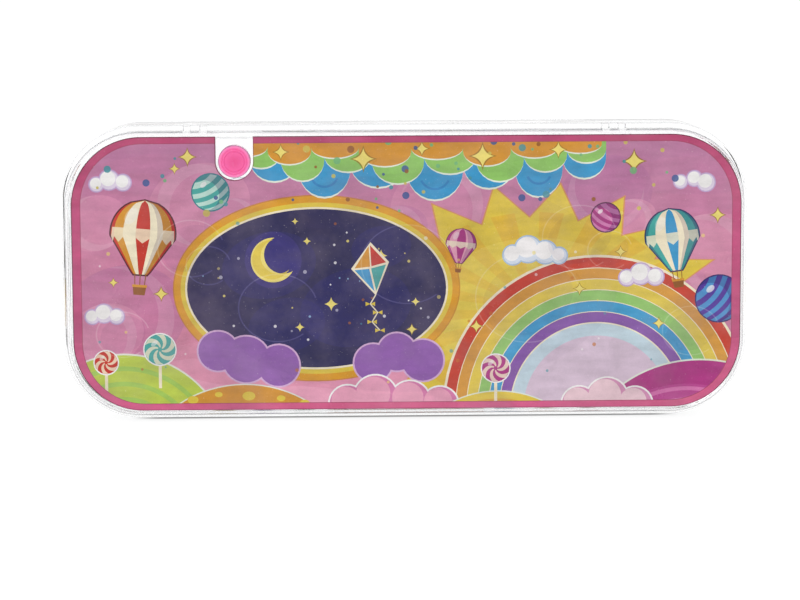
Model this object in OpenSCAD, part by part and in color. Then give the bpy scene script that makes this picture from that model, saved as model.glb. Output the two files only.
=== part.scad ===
// Handheld water ring game, landscape case of clear plastic.
// Frame: +Z up with the game held upright, the player looks along +Y at the
// front, and the fill plug and the printed label are on the back (+Y).
// The origin is on the flat under-edge that the case stands on.
// All sizes in millimetres.

/* [Case] */
// Overall width of the case, at the front shell
case_w = 160; // [158:1:172]
// Overall height of the case, at the front shell
case_h = 68.6; // [67.6:0.5:76]
// Corner radius of the front shell
case_r = 18.4; // [16:0.1:20]
// Wall of the front shell
front_wall = 1.7; // [1.4:0.1:2]
// Wall of the side of the rear shell
rear_wall = 1.5; // [1.2:0.1:1.6]
// How far the rear shell steps in from the front shell, each side
step_in = 1.25; // [1:0.05:1.4]
// Rounding of the front edge
front_edge = 1.6; // [1:0.1:4]
// Rounding of the rear edge
rear_edge = 0.7; // [0.5:0.1:0.9]

/* [Window] */
// Width of the raised bead round the front window
window_w = 97.6; // [90:0.2:98]
// Height of the raised bead round the front window
window_h = 47; // [42:0.2:48]
// Corner radius of the bead
window_r = 10.8; // [8:0.1:12]
// How far the window's centre sits below the middle of the case
window_drop = 2.4; // [2:0.1:3]

/* [Buttons] */
// Sideways distance of each push button from the middle
button_x = 63.5; // [63.2:0.1:64]
// Height of the button centres
button_z = 25; // [24:0.5:28]
// Radius of the button cap
button_r = 8.55; // [8:0.05:8.6]

/* [Fill plug] */
// Sideways place of the fill plug (the right side, seen from the front)
plug_x = 39.3; // [30:0.1:45]
// Height of the fill plug
plug_z = 60.4; // [59.5:0.1:60.6]
// Radius of the plug's head
plug_head_r = 3.65; // [3.6:0.01:3.9]
// Radius of the fill hole
port_r = 3.3; // [3.2:0.05:3.4]

/* [Rings and pegs] */
// Radius of a ring's centre line
ring_r = 3.9; // [3.6:0.1:3.9]
// Radius of a ring's wire
ring_wire = 0.8; // [0.6:0.05:0.8]
// Sideways place of the outer pegs
side_peg_x = 12; // [12:0.1:12.2]
// Top of the middle peg
centre_peg_top = 34; // [26:0.5:38]
// Top of the outer pegs
side_peg_top = 24.5; // [20:0.5:28]

/* [Hidden] */
$fn = 96;

zc = case_h / 2;                 // mid height
y_front = -8.5;                  // front face
y_split = 4.5;                   // where the two shells meet
y_back = 8.5;                    // outside of the rear wall
y_in = y_front + front_wall;     // inside of the front wall
y_wall = y_back - 1.6;           // inside of the rear wall
lip_y = 1.0;                     // front end of the rear shell's lip
film = 0.2;                      // thickness of each printed film

rear_w = case_w - 2 * step_in - 0.1;
rear_h = case_h - 2 * step_in + 0.1;
rear_r = case_r - step_in;
front_in_w = case_w - 2 * front_wall;
front_in_h = case_h - 2 * front_wall;
front_in_r = case_r - front_wall;
rear_in_w = rear_w - 2 * rear_wall;
rear_in_h = rear_h - 2 * rear_wall;
rear_in_r = rear_r - rear_wall;
floor_z = zc - rear_in_h / 2;    // top of the lip, which the rings lie over

label_w = 155;
label_h = 63.7;
label_r = 16.2;
label_x = -0.4;                 // the film is stuck on a little off centre
notch_r = 4.3;
front_rim = 4.3;                 // bare rim round the front print
front_notch_r = 6;               // gap in the front print over the filler
neck_r = 3.78;                   // outside of the filler neck
neck_y = 4.9;                    // inner end of the filler neck

hole_r = 9.6;                    // button hole in the front wall
button_top = 14.6;               // crown of the cap, in front of the mid plane
cup_r = 12;
cup_in_r = 10.8;
cup_floor = 1.8;                 // y of the cup floor's inside
pipe_y = 4.8;
pipe_r = 1.65;
pipe_bore = 1.0;
pipe_end_x = 50;
pipe_low_z = 6;
ring_floor_z = floor_z + 0.1 + ring_wire;
// sideways place of each ring: three on the floor each side, three on pegs
lane_1 = 23.5;
lane_2 = 33.2;
lane_3 = 42.9;
hill_r = 10;
side_hill_r = 6.5;
hill_z = floor_z + 0.05;
ear_x = [46.45, 50.25];          // each pair of ears on the top edge
ear_w = 1.75;

clear = [0.93, 0.96, 0.98, 0.35];
clear_in = [0.90, 0.94, 0.97, 0.45];
pink = [0.98, 0.33, 0.60];
milky = [0.95, 0.93, 0.90];

// ---- helpers ----

// rounded rectangle, exact arcs
module rr(w, h, r) {
    square([w, h - 2 * r], center = true);
    square([w - 2 * r, h], center = true);
    for (sx = [-1, 1], sz = [-1, 1])
        translate([sx * (w / 2 - r), sz * (h / 2 - r)]) circle(r = r);
}

// upright plate from y0 to y1, centred on the case
module slab(w, h, r, y0, y1, x = 0, z = 0)
    translate([x, y1, zc + z]) rotate([90, 0, 0])
        linear_extrude(height = y1 - y0) rr(w, h, r);

// quarter of a disc, in the +x +y corner
module quarter(e) intersection() { circle(r = e); square([e, e]); }

// quarter-round bead laid round the outline at depth y: four bars and four
// swept corners; side -1 rounds toward the front, 1 toward the back
module edge_round(w, h, r, y, e, side) {
    for (m = [0, 1]) translate([0, 0, zc]) mirror([0, 0, m])
        translate([-(w / 2 - r), y, h / 2 - e]) rotate([90, 0, 90])
            linear_extrude(height = w - 2 * r) mirror([side < 0 ? 1 : 0, 0]) quarter(e);
    for (m = [0, 1]) mirror([m, 0, 0]) translate([w / 2 - e, y, zc - (h / 2 - r)])
        linear_extrude(height = h - 2 * r) mirror([0, side < 0 ? 1 : 0]) quarter(e);
    for (mx = [0, 1], mz = [0, 1]) translate([0, y, zc]) mirror([mx, 0, 0]) mirror([0, 0, mz])
        translate([w / 2 - r, 0, h / 2 - r]) mirror([0, side < 0 ? 0 : 1, 0])
            rotate([90, 0, 0]) rotate_extrude(angle = 90) translate([r - e, 0]) quarter(e);
}

// cylinder along Y from y0 to y1
module ycyl(x, z, r, y0, y1)
    translate([x, y1, z]) rotate([90, 0, 0]) cylinder(r = r, h = y1 - y0);

// local +Z points out of the front face at a button
module at_button(s) translate([s * button_x, 0, button_z]) rotate([90, 0, 0]) children();

// U-shaped notch for the plug, open to the top edge
module plug_notch(r, y0, y1) {
    ycyl(plug_x, plug_z, r, y0, y1);
    translate([plug_x - r, y0, plug_z]) cube([2 * r, y1 - y0, 12]);
}

// ---- casing ----

module front_shell() color(clear) difference() {
    union() {
        slab(case_w, case_h, case_r, y_front + front_edge, y_split);
        slab(case_w - 2 * front_edge, case_h - 2 * front_edge, case_r - front_edge,
             y_front, y_front + front_edge);
        edge_round(case_w, case_h, case_r, y_front + front_edge, front_edge, -1);
        // raised bead round the window
        difference() {
            slab(window_w, window_h, window_r, y_front - 0.5, y_front + 0.5, 0, -window_drop);
            slab(window_w - 2.6, window_h - 2.6, window_r - 1.3, y_front - 1, y_front, 0, -window_drop);
        }
    }
    slab(front_in_w, front_in_h, front_in_r, y_in, y_split + 1);
    for (s = [-1, 1]) ycyl(s * button_x, button_z, hole_r, y_front - 1, y_in + 1);
}

// one ear on the top edge: it stands as high as the front shell
module ear(x) translate([x - ear_w / 2, 0, 0]) rotate([90, 0, 90])
    linear_extrude(height = ear_w)
        polygon([[y_split, zc + rear_h / 2 - 0.8], [y_split, case_h - 0.05],
                 [y_back - 0.17, case_h - 0.05], [y_back - 0.05, case_h - 0.17],
                 [y_back - 0.05, zc + rear_h / 2 - 0.8]]);

module rear_shell() color(clear) difference() {
    union() {
        slab(rear_w, rear_h, rear_r, y_split, y_back - rear_edge);
        slab(rear_w - 2 * rear_edge, rear_h - 2 * rear_edge, rear_r - rear_edge,
             y_back - rear_edge, y_back);
        edge_round(rear_w, rear_h, rear_r, y_back - rear_edge, rear_edge, 1);
        // lip that plugs into the front shell
        slab(front_in_w - 0.2, front_in_h - 0.2, front_in_r - 0.1, lip_y, y_split + 0.5);
        for (s = [-1, 1], x = ear_x) ear(s * x);
    }
    difference() {
        slab(rear_in_w, rear_in_h, rear_in_r, lip_y - 1, y_wall);
        ycyl(plug_x, plug_z, neck_r, neck_y, y_wall + 1);
    }
    ycyl(plug_x, plug_z, port_r, neck_y - 1, y_back + 1);
}

module front_label() color([0.86, 0.33, 0.58]) difference() {
    slab(case_w - 2 * front_rim, case_h - 2 * front_rim, case_r - front_rim,
         y_front - film, y_front);
    slab(window_w + 0.8, window_h + 0.8, window_r + 0.4, y_front - 1, y_front + 1, 0, -window_drop);
    for (s = [-1, 1]) ycyl(s * button_x, button_z, 10.8, y_front - 1, y_front + 1);
    plug_notch(front_notch_r, y_front - 1, y_front + 1);
}

module scene_film() color([0.25, 0.25, 0.55]) difference() {
    slab(label_w - 0.6, label_h - 0.6, label_r - 0.3, y_back, y_back + film, label_x);
    plug_notch(notch_r, y_back - 1, y_back + 1);
}

module rear_label() color([0.80, 0.30, 0.55]) difference() {
    slab(label_w, label_h, label_r, y_back + film, y_back + 2 * film, label_x);
    plug_notch(notch_r, y_back - 1, y_back + 1);
}

// soft plug: round head with a dished middle, on a straight stem
module fill_plug() color(pink) translate([plug_x, y_back, plug_z]) rotate([-90, 0, 0]) {
    rotate_extrude() polygon([[0, 0], [plug_head_r - 0.15, 0], [plug_head_r, 0.15],
        [plug_head_r, 0.75], [plug_head_r - 0.1, 1.0], [plug_head_r - 0.35, 1.2],
        [2.85, 1.2], [2.5, 0.9], [0, 0.85]]);
    translate([0, 0, -1.4]) cylinder(r = port_r - 0.05, h = 1.6);
    translate([0, 0, -1.85]) cylinder(r1 = port_r - 0.4, r2 = port_r - 0.05, h = 0.45);
}

// ---- pumps ----

module button(s) color(pink) at_button(s) difference() {
    union() {
        intersection() {
            translate([0, 0, 5.6]) cylinder(r = button_r, h = 10);
            translate([0, 0, button_top - 19.3]) sphere(r = 19.3);
        }
        translate([0, 0, 5.6]) cylinder(r = 9.9, h = 1);
    }
    difference() {
        translate([0, 0, 5]) cylinder(r = button_r - 1.35, h = button_top - 7.5);
        translate([0, 0, 4]) cylinder(r = 3, h = 12);
    }
    // thumb dish
    translate([0, 0, button_top - 0.6 + 22]) sphere(r = 22);
}

module button_collar(s) color([0.99, 0.86, 0.25]) at_button(s) difference() {
    union() {
        translate([0, 0, -y_front]) cylinder(r = 10.6, h = 1.2);
        translate([0, 0, -y_front + 1.2]) cylinder(r1 = 10.6, r2 = 10.1, h = 0.5);
        translate([0, 0, -y_in]) cylinder(r = hole_r - 0.05, h = front_wall + 0.5);
    }
    cylinder(r = button_r + 0.1, h = 20);
}

// accordion bellows: closed at the front, its flange sealed on the cup floor
module bellows(s) color(milky) at_button(s) rotate_extrude() polygon([
    [0, 5.55], [6.6, 5.55], [8.0, 4.4], [6.6, 3.2], [8.0, 2.0], [6.6, 0.8],
    [8.0, -0.3], [7.4, -1.0], [9.8, -1.0], [9.8, -cup_floor], [6.4, -cup_floor],
    [6.4, -1.0], [7.2, -0.3], [5.8, 0.8], [7.2, 2.0], [5.8, 3.2], [7.2, 4.4],
    [6.2, 4.9], [0, 4.9]]);

module bellows_clamp(s) color([0.97, 0.97, 0.97]) at_button(s)
    translate([0, 0, -1.0]) difference() {
        cylinder(r = cup_in_r - 0.05, h = 1.2);
        translate([0, 0, -1]) cylinder(r = 8.35, h = 4);
    }

module pump_cup(s) color(clear_in) at_button(s) difference() {
    translate([0, 0, -cup_floor - 1.2]) cylinder(r = cup_r, h = -y_in + cup_floor + 1.2);
    translate([0, 0, -cup_floor]) cylinder(r = cup_in_r, h = 20);
    translate([0, 0, -10]) cylinder(r = pipe_r + 0.05, h = 10);
}

// outline of the jet pipe: out of the cup, down, along the floor, and up
module pipe_run(s, r, more) {
    ycyl(s * button_x, button_z, r, cup_floor - more, pipe_y);
    translate([s * button_x, pipe_y, pipe_low_z]) cylinder(r = r, h = button_z - pipe_low_z);
    translate([s * button_x, pipe_y, button_z]) sphere(r = r);
    translate([s * button_x, pipe_y, pipe_low_z]) sphere(r = r);
    translate([s * pipe_end_x, pipe_y, pipe_low_z]) sphere(r = r);
    translate([s * (button_x + pipe_end_x) / 2, pipe_y, pipe_low_z]) rotate([0, 90, 0])
        cylinder(r = r, h = button_x - pipe_end_x, center = true);
    translate([s * pipe_end_x, pipe_y, pipe_low_z]) cylinder(r = r, h = 4.5 + more);
}

module jet_pipe(s) color(clear_in) difference() {
    pipe_run(s, pipe_r, 0);
    pipe_run(s, pipe_bore, 1);
}

// ---- target and rings ----

// three rounded hills with a peg hole on top of each, open at the back
module hills(grow, y0, y1) {
    ycyl(0, hill_z, hill_r + grow, y0, y1);
    for (s = [-1, 1]) ycyl(s * side_peg_x, hill_z, side_hill_r + grow, y0, y1);
}

module peg_stand() color([0.96, 0.58, 0.20]) difference() {
    hills(0, -4.4, y_wall);
    hills(-1.6, -3.0, y_wall + 1);
    translate([-50, -10, hill_z - 30]) cube([100, 30, 30]);
    translate([0, 0, hill_z]) cylinder(r = 1.15, h = 30);
    for (s = [-1, 1]) translate([s * side_peg_x, 0, hill_z]) cylinder(r = 1.15, h = 30);
}

// round pin with a foot flange and a ball tip
module peg(x, base, top, c) color(c) translate([x, 0, 0]) {
    translate([0, 0, base - 1.5]) cylinder(r = 1.1, h = top - base + 1.5);
    translate([0, 0, base]) cylinder(r1 = 2.0, r2 = 1.6, h = 1.0);
    translate([0, 0, top]) sphere(r = 1.7);
}

module ring(x, z, c) color(c) translate([x, 0, z])
    rotate_extrude() translate([ring_r, 0]) circle(r = ring_wire, $fn = 48);

yellow = [0.99, 0.84, 0.15];
green = [0.35, 0.75, 0.30];
blue = [0.20, 0.55, 0.90];
red = [0.90, 0.20, 0.18];
violet = [0.55, 0.35, 0.80];

front_shell();
rear_shell();
front_label();
scene_film();
rear_label();
fill_plug();
button(-1);  // left_button
button(1);  // right_button
button_collar(-1);  // left_button_collar
button_collar(1);  // right_button_collar
bellows(-1);  // left_bellows
bellows(1);  // right_bellows
bellows_clamp(-1);  // left_bellows_clamp
bellows_clamp(1);  // right_bellows_clamp
pump_cup(-1);  // left_pump_cup
pump_cup(1);  // right_pump_cup
jet_pipe(-1);  // left_jet_pipe
jet_pipe(1);  // right_jet_pipe
peg_stand();
peg(-side_peg_x, hill_z + side_hill_r, side_peg_top, green);  // left_peg
peg(0, hill_z + hill_r, centre_peg_top, pink);  // centre_peg
peg(side_peg_x, hill_z + side_hill_r, side_peg_top, blue);  // right_peg
ring(-lane_3, ring_floor_z, red);  // ring_1
ring(-lane_2, ring_floor_z, yellow);  // ring_2
ring(-lane_1, ring_floor_z, blue);  // ring_3
ring(lane_1, ring_floor_z, green);  // ring_4
ring(lane_2, ring_floor_z, violet);  // ring_5
ring(lane_3, ring_floor_z, yellow);  // ring_6
ring(-side_peg_x, hill_z + side_hill_r + 0.15 + ring_wire, yellow);  // ring_7
ring(0, hill_z + hill_r + 0.15 + ring_wire, blue);  // ring_8
ring(side_peg_x, hill_z + side_hill_r + 0.15 + ring_wire, red);  // ring_9
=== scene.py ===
import math
import random

import bpy
import bmesh
from mathutils import Matrix, Vector
from mathutils.geometry import delaunay_2d_cdt


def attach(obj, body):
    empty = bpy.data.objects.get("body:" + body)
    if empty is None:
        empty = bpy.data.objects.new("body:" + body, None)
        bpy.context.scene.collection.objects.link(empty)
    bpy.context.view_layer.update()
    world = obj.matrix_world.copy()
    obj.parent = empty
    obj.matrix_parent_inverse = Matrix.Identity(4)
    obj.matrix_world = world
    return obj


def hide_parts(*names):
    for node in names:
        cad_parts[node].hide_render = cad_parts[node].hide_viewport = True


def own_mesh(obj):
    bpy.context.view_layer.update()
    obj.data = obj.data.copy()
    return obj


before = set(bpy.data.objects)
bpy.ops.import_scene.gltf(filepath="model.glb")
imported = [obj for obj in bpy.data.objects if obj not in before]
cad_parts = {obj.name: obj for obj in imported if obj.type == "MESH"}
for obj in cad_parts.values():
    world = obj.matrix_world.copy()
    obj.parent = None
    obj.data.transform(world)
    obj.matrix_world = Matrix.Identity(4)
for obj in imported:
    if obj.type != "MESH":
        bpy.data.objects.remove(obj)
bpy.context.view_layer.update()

MM = 0.001
TAU = 2 * math.pi
scene = bpy.context.scene

# ---------------------------------------------------------------- sizes, as in the CAD (mm)
CASE_W, CASE_H, CASE_R = 160.0, 68.6, 18.4
ZC = CASE_H / 2
Y_FRONT, Y_SPLIT, Y_BACK = -8.5, 4.5, 8.5
FRONT_WALL, FRONT_EDGE, FRONT_IN, RIM_ROUND = 1.7, 0.3, 0.5, 0.45
REAR_W, REAR_H, REAR_R, REAR_EDGE = 157.4, 66.2, 17.15, 0.7
LABEL_W, LABEL_H, LABEL_R, LABEL_X = 155.0, 63.7, 16.2, -0.4
FL_W, FL_H, FL_R = CASE_W - 8.6, CASE_H - 8.6, CASE_R - 4.3
PLUG_X, PLUG_Z, PORT_R, NECK_R, NECK_Y = 39.3, 60.4, 3.3, 3.78, 4.9
NOTCH_R, FRONT_NOTCH_R = 4.3, 6.0
BUTTON_X, BUTTON_Z, HOLE_R = 63.5, 25.0, 9.6
WINDOW_W, WINDOW_H, WINDOW_R, WINDOW_DROP = 97.6, 47.0, 10.8, 2.4
HILL_Z, HILL_R, SIDE_HILL_R, SIDE_PEG_X = 2.75, 10.0, 6.5, 12.0

# ---------------------------------------------------------------- camera
# The photograph shows the back, from a little above, with a long lens.
ELEV = math.radians(7.33)
AZIM = math.radians(1.07)
DIST = 0.631
target = Vector((0.00131, 0.0089, 0.02797))
cam_data = bpy.data.cameras.new("camera")
cam_data.sensor_width = 36.0
cam_data.lens = 122.4
cam_data.clip_start = 0.01
cam_data.clip_end = 20.0
cam = bpy.data.objects.new("camera", cam_data)
scene.collection.objects.link(cam)
away = Vector((math.sin(AZIM) * math.cos(ELEV), math.cos(AZIM) * math.cos(ELEV), math.sin(ELEV)))
cam.location = target + away * DIST
look = (target - cam.location).to_track_quat("-Z", "Y").to_matrix().to_4x4()
roll = Matrix.Rotation(math.radians(-0.28), 4, "Z")
cam.matrix_world = Matrix.Translation(cam.location) @ look @ roll
scene.camera = cam

scene.view_settings.view_transform = "Standard"
scene.view_settings.look = "None"
scene.cycles.use_denoising = True
scene.cycles.max_bounces = 24
scene.cycles.transmission_bounces = 20
scene.cycles.transparent_max_bounces = 24
scene.cycles.glossy_bounces = 6
scene.cycles.diffuse_bounces = 4


# ---------------------------------------------------------------- mesh helpers (all in mm)
def arc_corner(p, q, r, rad, seg):
    """The points that round the corner q between p and r with radius rad."""
    q = Vector(q)
    a = (Vector(p) - q).normalized()
    b = (Vector(r) - q).normalized()
    ang = a.angle(b)
    t = rad / math.tan(ang / 2)
    c = q + (a + b).normalized() * (rad / math.sin(ang / 2))
    s, e = q + a * t - c, q + b * t - c
    a0, a1 = math.atan2(s.y, s.x), math.atan2(e.y, e.x)
    d = (a1 - a0 + math.pi) % TAU - math.pi
    return [(c.x + rad * math.cos(a0 + d * i / seg), c.y + rad * math.sin(a0 + d * i / seg)) for i in range(seg + 1)]


def profile(pts, closed=False, seg=5):
    """A polyline whose points are (x, y) or (x, y, corner radius)."""
    out, n = [], len(pts)
    for i, p in enumerate(pts):
        if len(p) < 3 or p[2] <= 0 or (not closed and i in (0, n - 1)):
            out.append((p[0], p[1]))
        else:
            out += arc_corner(pts[i - 1][:2], p[:2], pts[(i + 1) % n][:2], p[2], seg)
    return out


def rect_loop(w, h, r, y, cx=0.0, cz=None, seg=20):
    """Rounded rectangle in the plane at depth y."""
    cz = ZC if cz is None else cz
    out = []
    for k, (sx, sz) in enumerate(((1, 1), (-1, 1), (-1, -1), (1, -1))):
        for i in range(seg + 1):
            a = (k + i / seg) * math.pi / 2
            out.append((cx + sx * (w / 2 - r) + r * math.cos(a), y, cz + sz * (h / 2 - r) + r * math.sin(a)))
    return out


def circle_loop(cx, cz, r, y, n=72):
    return [(cx + r * math.cos(TAU * i / n), y, cz + r * math.sin(TAU * i / n)) for i in range(n)]


class Shape:
    """A mesh put together from loops of points, bridged and filled."""

    def __init__(self):
        self.bm = bmesh.new()

    def loop(self, pts):
        vs = [self.bm.verts.new(p) for p in pts]
        for i, v in enumerate(vs):
            self.bm.edges.new((vs[i - 1], v))
        return vs

    def bridge(self, a, b):
        n = len(a)
        for i in range(n):
            j = (i + 1) % n
            self.bm.faces.new((a[i], a[j], b[j], b[i]))

    def skin(self, loops):
        rows = [self.loop(p) for p in loops]
        for a, b in zip(rows, rows[1:]):
            self.bridge(a, b)
        return rows

    def fill(self, *loops):
        es = []
        for vs in loops:
            for i, v in enumerate(vs):
                es.append(self.bm.edges.get((vs[i - 1], v)))
        bmesh.ops.triangle_fill(self.bm, use_beauty=True, use_dissolve=False, edges=es)

    def lathe(self, prof, place, n=96, closed=False):
        """Turns (radius, height) round an axis. place(r, angle, height) gives the point."""
        rows = []
        for r, h in prof:
            if r < 1e-6:
                rows.append([self.bm.verts.new(place(0.0, 0.0, h))])
            else:
                rows.append([self.bm.verts.new(place(r, TAU * i / n, h)) for i in range(n)])
        pairs = list(zip(rows, rows[1:]))
        if closed:
            pairs.append((rows[-1], rows[0]))
        for a, b in pairs:
            if len(a) == 1 and len(b) == 1:
                continue
            for i in range(n):
                j = (i + 1) % n
                if len(a) == 1:
                    self.bm.faces.new((a[0], b[j], b[i]))
                elif len(b) == 1:
                    self.bm.faces.new((a[i], a[j], b[0]))
                else:
                    self.bm.faces.new((a[i], a[j], b[j], b[i]))

    def done(self, name, mat, angle=38, weighted=True):
        bmesh.ops.recalc_face_normals(self.bm, faces=self.bm.faces[:])
        bmesh.ops.scale(self.bm, vec=(MM, MM, MM), verts=self.bm.verts[:])
        me = bpy.data.meshes.new(name)
        self.bm.to_mesh(me)
        self.bm.free()
        me.polygons.foreach_set("use_smooth", [True] * len(me.polygons))
        me.set_sharp_from_angle(angle=math.radians(angle))
        me.materials.append(mat)
        o = bpy.data.objects.new(name, me)
        scene.collection.objects.link(o)
        if weighted:
            w = o.modifiers.new("even_normals", "WEIGHTED_NORMAL")
            w.keep_sharp = True
        return o


def along_y(cx, cz):
    """Heights run out of the front face, toward -Y."""
    return lambda r, a, h: (cx + r * math.cos(a), -h, cz + r * math.sin(a))


def along_z(cx):
    return lambda r, a, h: (cx + r * math.cos(a), r * math.sin(a), h)


def finish_piece(o, body, slot, *nodes):
    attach(o, body)
    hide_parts(*nodes)
    return o


# ---------------------------------------------------------------- drawing flat artwork



def ring_pts(cx, cy, r, ry=None, rot=0.0, n=0, a0=0.0, a1=TAU, closed=True):
    ry = r if ry is None else ry
    n = n or max(12, min(80, int(12 + max(r, ry) * 3.4)))
    c, s = math.cos(rot), math.sin(rot)
    out = []
    for i in range(n if closed else n + 1):
        a = a0 + (a1 - a0) * i / n
        x, y = r * math.cos(a), ry * math.sin(a)
        out.append((cx + c * x - s * y, cy + s * x + c * y))
    return out


def rounded_rect(w, h, r, n=16, cx=0.0, cy=0.0):
    out = []
    for k, (sx, sy) in enumerate(((1, 1), (-1, 1), (-1, -1), (1, -1))):
        for i in range(n + 1):
            a = (k + i / n) * math.pi / 2
            out.append((cx + sx * (w / 2 - r) + r * math.cos(a), cy + sy * (h / 2 - r) + r * math.sin(a)))
    return out


def smooth(pts, n=8):
    """Closed Catmull-Rom curve through pts."""
    out, m = [], len(pts)
    for i in range(m):
        p0, p1, p2, p3 = (pts[(i + k - 1) % m] for k in range(4))
        for j in range(n):
            t = j / n
            out.append(tuple(0.5 * (2 * b + (c - a) * t + (2 * a - 5 * b + 4 * c - d) * t * t
                                    + (3 * b - a - 3 * c + d) * t ** 3)
                             for a, b, c, d in zip(p0, p1, p2, p3)))
    return out


class Art:
    """A stack of flat shapes, later ones on top. Colours are 0 to 255, a fourth value is opacity."""

    def __init__(self):
        self.shapes = []

    def poly(self, pts, col, a=1.0):
        self.shapes.append(([tuple(p) for p in pts], tuple(col) + (a,)))

    def disc(self, cx, cy, r, col, ry=None, rot=0.0, a=1.0, n=0):
        self.poly(ring_pts(cx, cy, r, ry, rot, n), col, a)

    def lined(self, cx, cy, r, fill, line, t, ry=None, rot=0.0):
        ryy = r if ry is None else ry
        self.disc(cx, cy, r + t, line, ryy + t, rot)
        self.disc(cx, cy, r, fill, ryy, rot)

    def arc(self, cx, cy, r0, r1, a0, a1, col, a=1.0, ky=1.0, n=44):
        o = ring_pts(cx, cy, r1, r1 * ky, 0, n, a0, a1, False)
        i = ring_pts(cx, cy, r0, r0 * ky, 0, n, a0, a1, False)
        self.poly(o + i[::-1], col, a)

    def star(self, cx, cy, r, col, k=4, inner=0.36, rot=0.0, a=1.0):
        pts = []
        for i in range(2 * k):
            t = rot + math.pi / 2 + i * math.pi / k
            q = r if i % 2 == 0 else r * inner
            pts.append((cx + q * math.cos(t), cy + q * math.sin(t)))
        self.poly(pts, col, a)

    def sparkle(self, cx, cy, r, col, a=1.0, line=None, rot=0.0):
        """Four-pointed star with hollow sides."""
        def shape(q):
            pts = []
            for k in range(4):
                for j in range(6):
                    t = j / 6
                    # from one tip to the next along a curve that dips to the middle
                    a0, a1 = rot + k * math.pi / 2, rot + (k + 1) * math.pi / 2
                    x = (1 - t) ** 2 * math.cos(a0) + t ** 2 * math.cos(a1) + 2 * t * (1 - t) * 0.16 * (math.cos(a0) + math.cos(a1))
                    y = (1 - t) ** 2 * math.sin(a0) + t ** 2 * math.sin(a1) + 2 * t * (1 - t) * 0.16 * (math.sin(a0) + math.sin(a1))
                    pts.append((cx + q * x, cy + q * y))
            return pts
        if line:
            self.poly(shape(r * 1.28), line, a * 0.75)
        self.poly(shape(r), col, a)

    def crescent(self, cx, cy, r, ang, col, a=1.0, n=30, fat=0.45):
        d = r * fat
        pts = []
        lim = math.radians(122)
        for i in range(n + 1):
            t = -lim + 2 * lim * i / n
            pts.append((-r * math.cos(t), r * math.sin(t)))
        x1, y1 = pts[-1]
        ri = math.hypot(x1 - d, y1)
        b = math.atan2(y1, -(x1 - d))
        for i in range(1, n):
            t = b - 2 * b * i / n
            pts.append((d - ri * math.cos(t), ri * math.sin(t)))
        c, s = math.cos(ang), math.sin(ang)
        self.poly([(cx + c * x - s * y, cy + s * x + c * y) for x, y in pts], col, a)

    def puffs(self, puffs, fill, line=None, t=0.45, shade=None, shift=(0.5, -0.7)):
        """A cloud: discs (x, y, r) that run together, with one outline."""
        if line:
            for x, y, r in puffs:
                self.disc(x, y, r + t, line)
        for x, y, r in puffs:
            self.disc(x, y, r, shade or fill)
        if shade:
            for x, y, r in puffs:
                self.disc(x - shift[0] * r * 0.22, y - shift[1] * r * 0.22, r * 0.8, fill)

    def garland(self, drops, top, fill, line, t=0.4, a=1.0):
        """Hanging scallops: (x, half width, depth) each, closed along the line v = top."""
        def outline(grow):
            pts = []
            for x, hw, dep in drops:
                for i in range(13):
                    q = math.pi + math.pi * i / 12
                    pts.append((x + (hw + 0.02) * math.cos(q), top - dep * 0.55 + (dep * 0.45 + grow) * math.sin(q) * 1.0))
            pts.append((pts[-1][0], top))
            pts.insert(0, (pts[0][0], top))
            return pts
        self.poly(outline(t), line, a)
        self.poly(outline(0), fill, a)


def partition(art, outline, holes=(), eps=1e-5):
    """Cuts the stack into one flat layer: points, triangles, and the colour that shows on each."""
    verts, faces, cols = [], [], []

    def add(pts):
        clean = []
        for p in pts:
            if not clean or (abs(p[0] - clean[-1][0]) + abs(p[1] - clean[-1][1])) > 1e-4:
                clean.append(p)
        # the cut needs every outline to run anticlockwise
        if sum(a[0] * b[1] - b[0] * a[1] for a, b in zip(clean, clean[1:] + clean[:1])) < 0:
            clean.reverse()
        b = len(verts)
        verts.extend(Vector(p) for p in clean)
        faces.append(list(range(b, b + len(clean))))
    add(outline)
    cols.append(None)
    for pts, col in art.shapes:
        add(pts)
        cols.append(col)
    nb = len(faces)
    for h in holes:
        add(h)
        cols.append(None)
    vs, es, fs, ov, oe, of = delaunay_2d_cdt(verts, [], faces, 1, eps, True)
    out_f, out_c = [], []
    for f, ids in zip(fs, of):
        if 0 not in ids or any(i >= nb for i in ids):
            continue
        r = g = b = 0.0
        for i in sorted(ids):
            if cols[i] is None:
                continue
            cr, cg, cb, ca = cols[i]
            r += (cr - r) * ca
            g += (cg - g) * ca
            b += (cb - b) * ca
        out_f.append(tuple(f))
        out_c.append((r, g, b))
    return vs, out_f, out_c

BORDER = (199, 90, 132)
BORDER_TOP = (192, 83, 122)
BORDER_FOOT = (216, 102, 143)
BORDER_RIM = (122, 40, 78)
BORDER_IN = (164, 78, 104)
ORANGE = (214, 152, 64)
OCHRE = (200, 134, 52)
AMBER = (222, 160, 54)
GREEN = (146, 198, 106)
GREEN_D = (104, 168, 96)
BLUE = (66, 156, 204)
BLUE_D = (42, 116, 178)
PALE = (228, 236, 220)
PINK = (218, 137, 164)
PINK_L = (232, 164, 188)
MAUVE = (192, 129, 165)
MAUVE_D = (170, 108, 158)
YELLOW = (226, 200, 78)
YELLOW_L = (240, 222, 122)
NAVY = (36, 36, 92)
NAVY_L = (60, 56, 128)
TEAL = (74, 172, 164)
TEAL_D = (40, 128, 140)
MAGENTA = (176, 66, 134)
PURPLE = (132, 88, 166)
PURPLE_D = (98, 62, 140)
LIME = (190, 208, 88)
RED = (200, 68, 52)
CREAM = (243, 232, 202)
BROWN = (150, 98, 52)
WHITE = (244, 242, 240)


def lerp(a, b, t):
    return tuple(x + (y - x) * t for x, y in zip(a, b))


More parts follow.
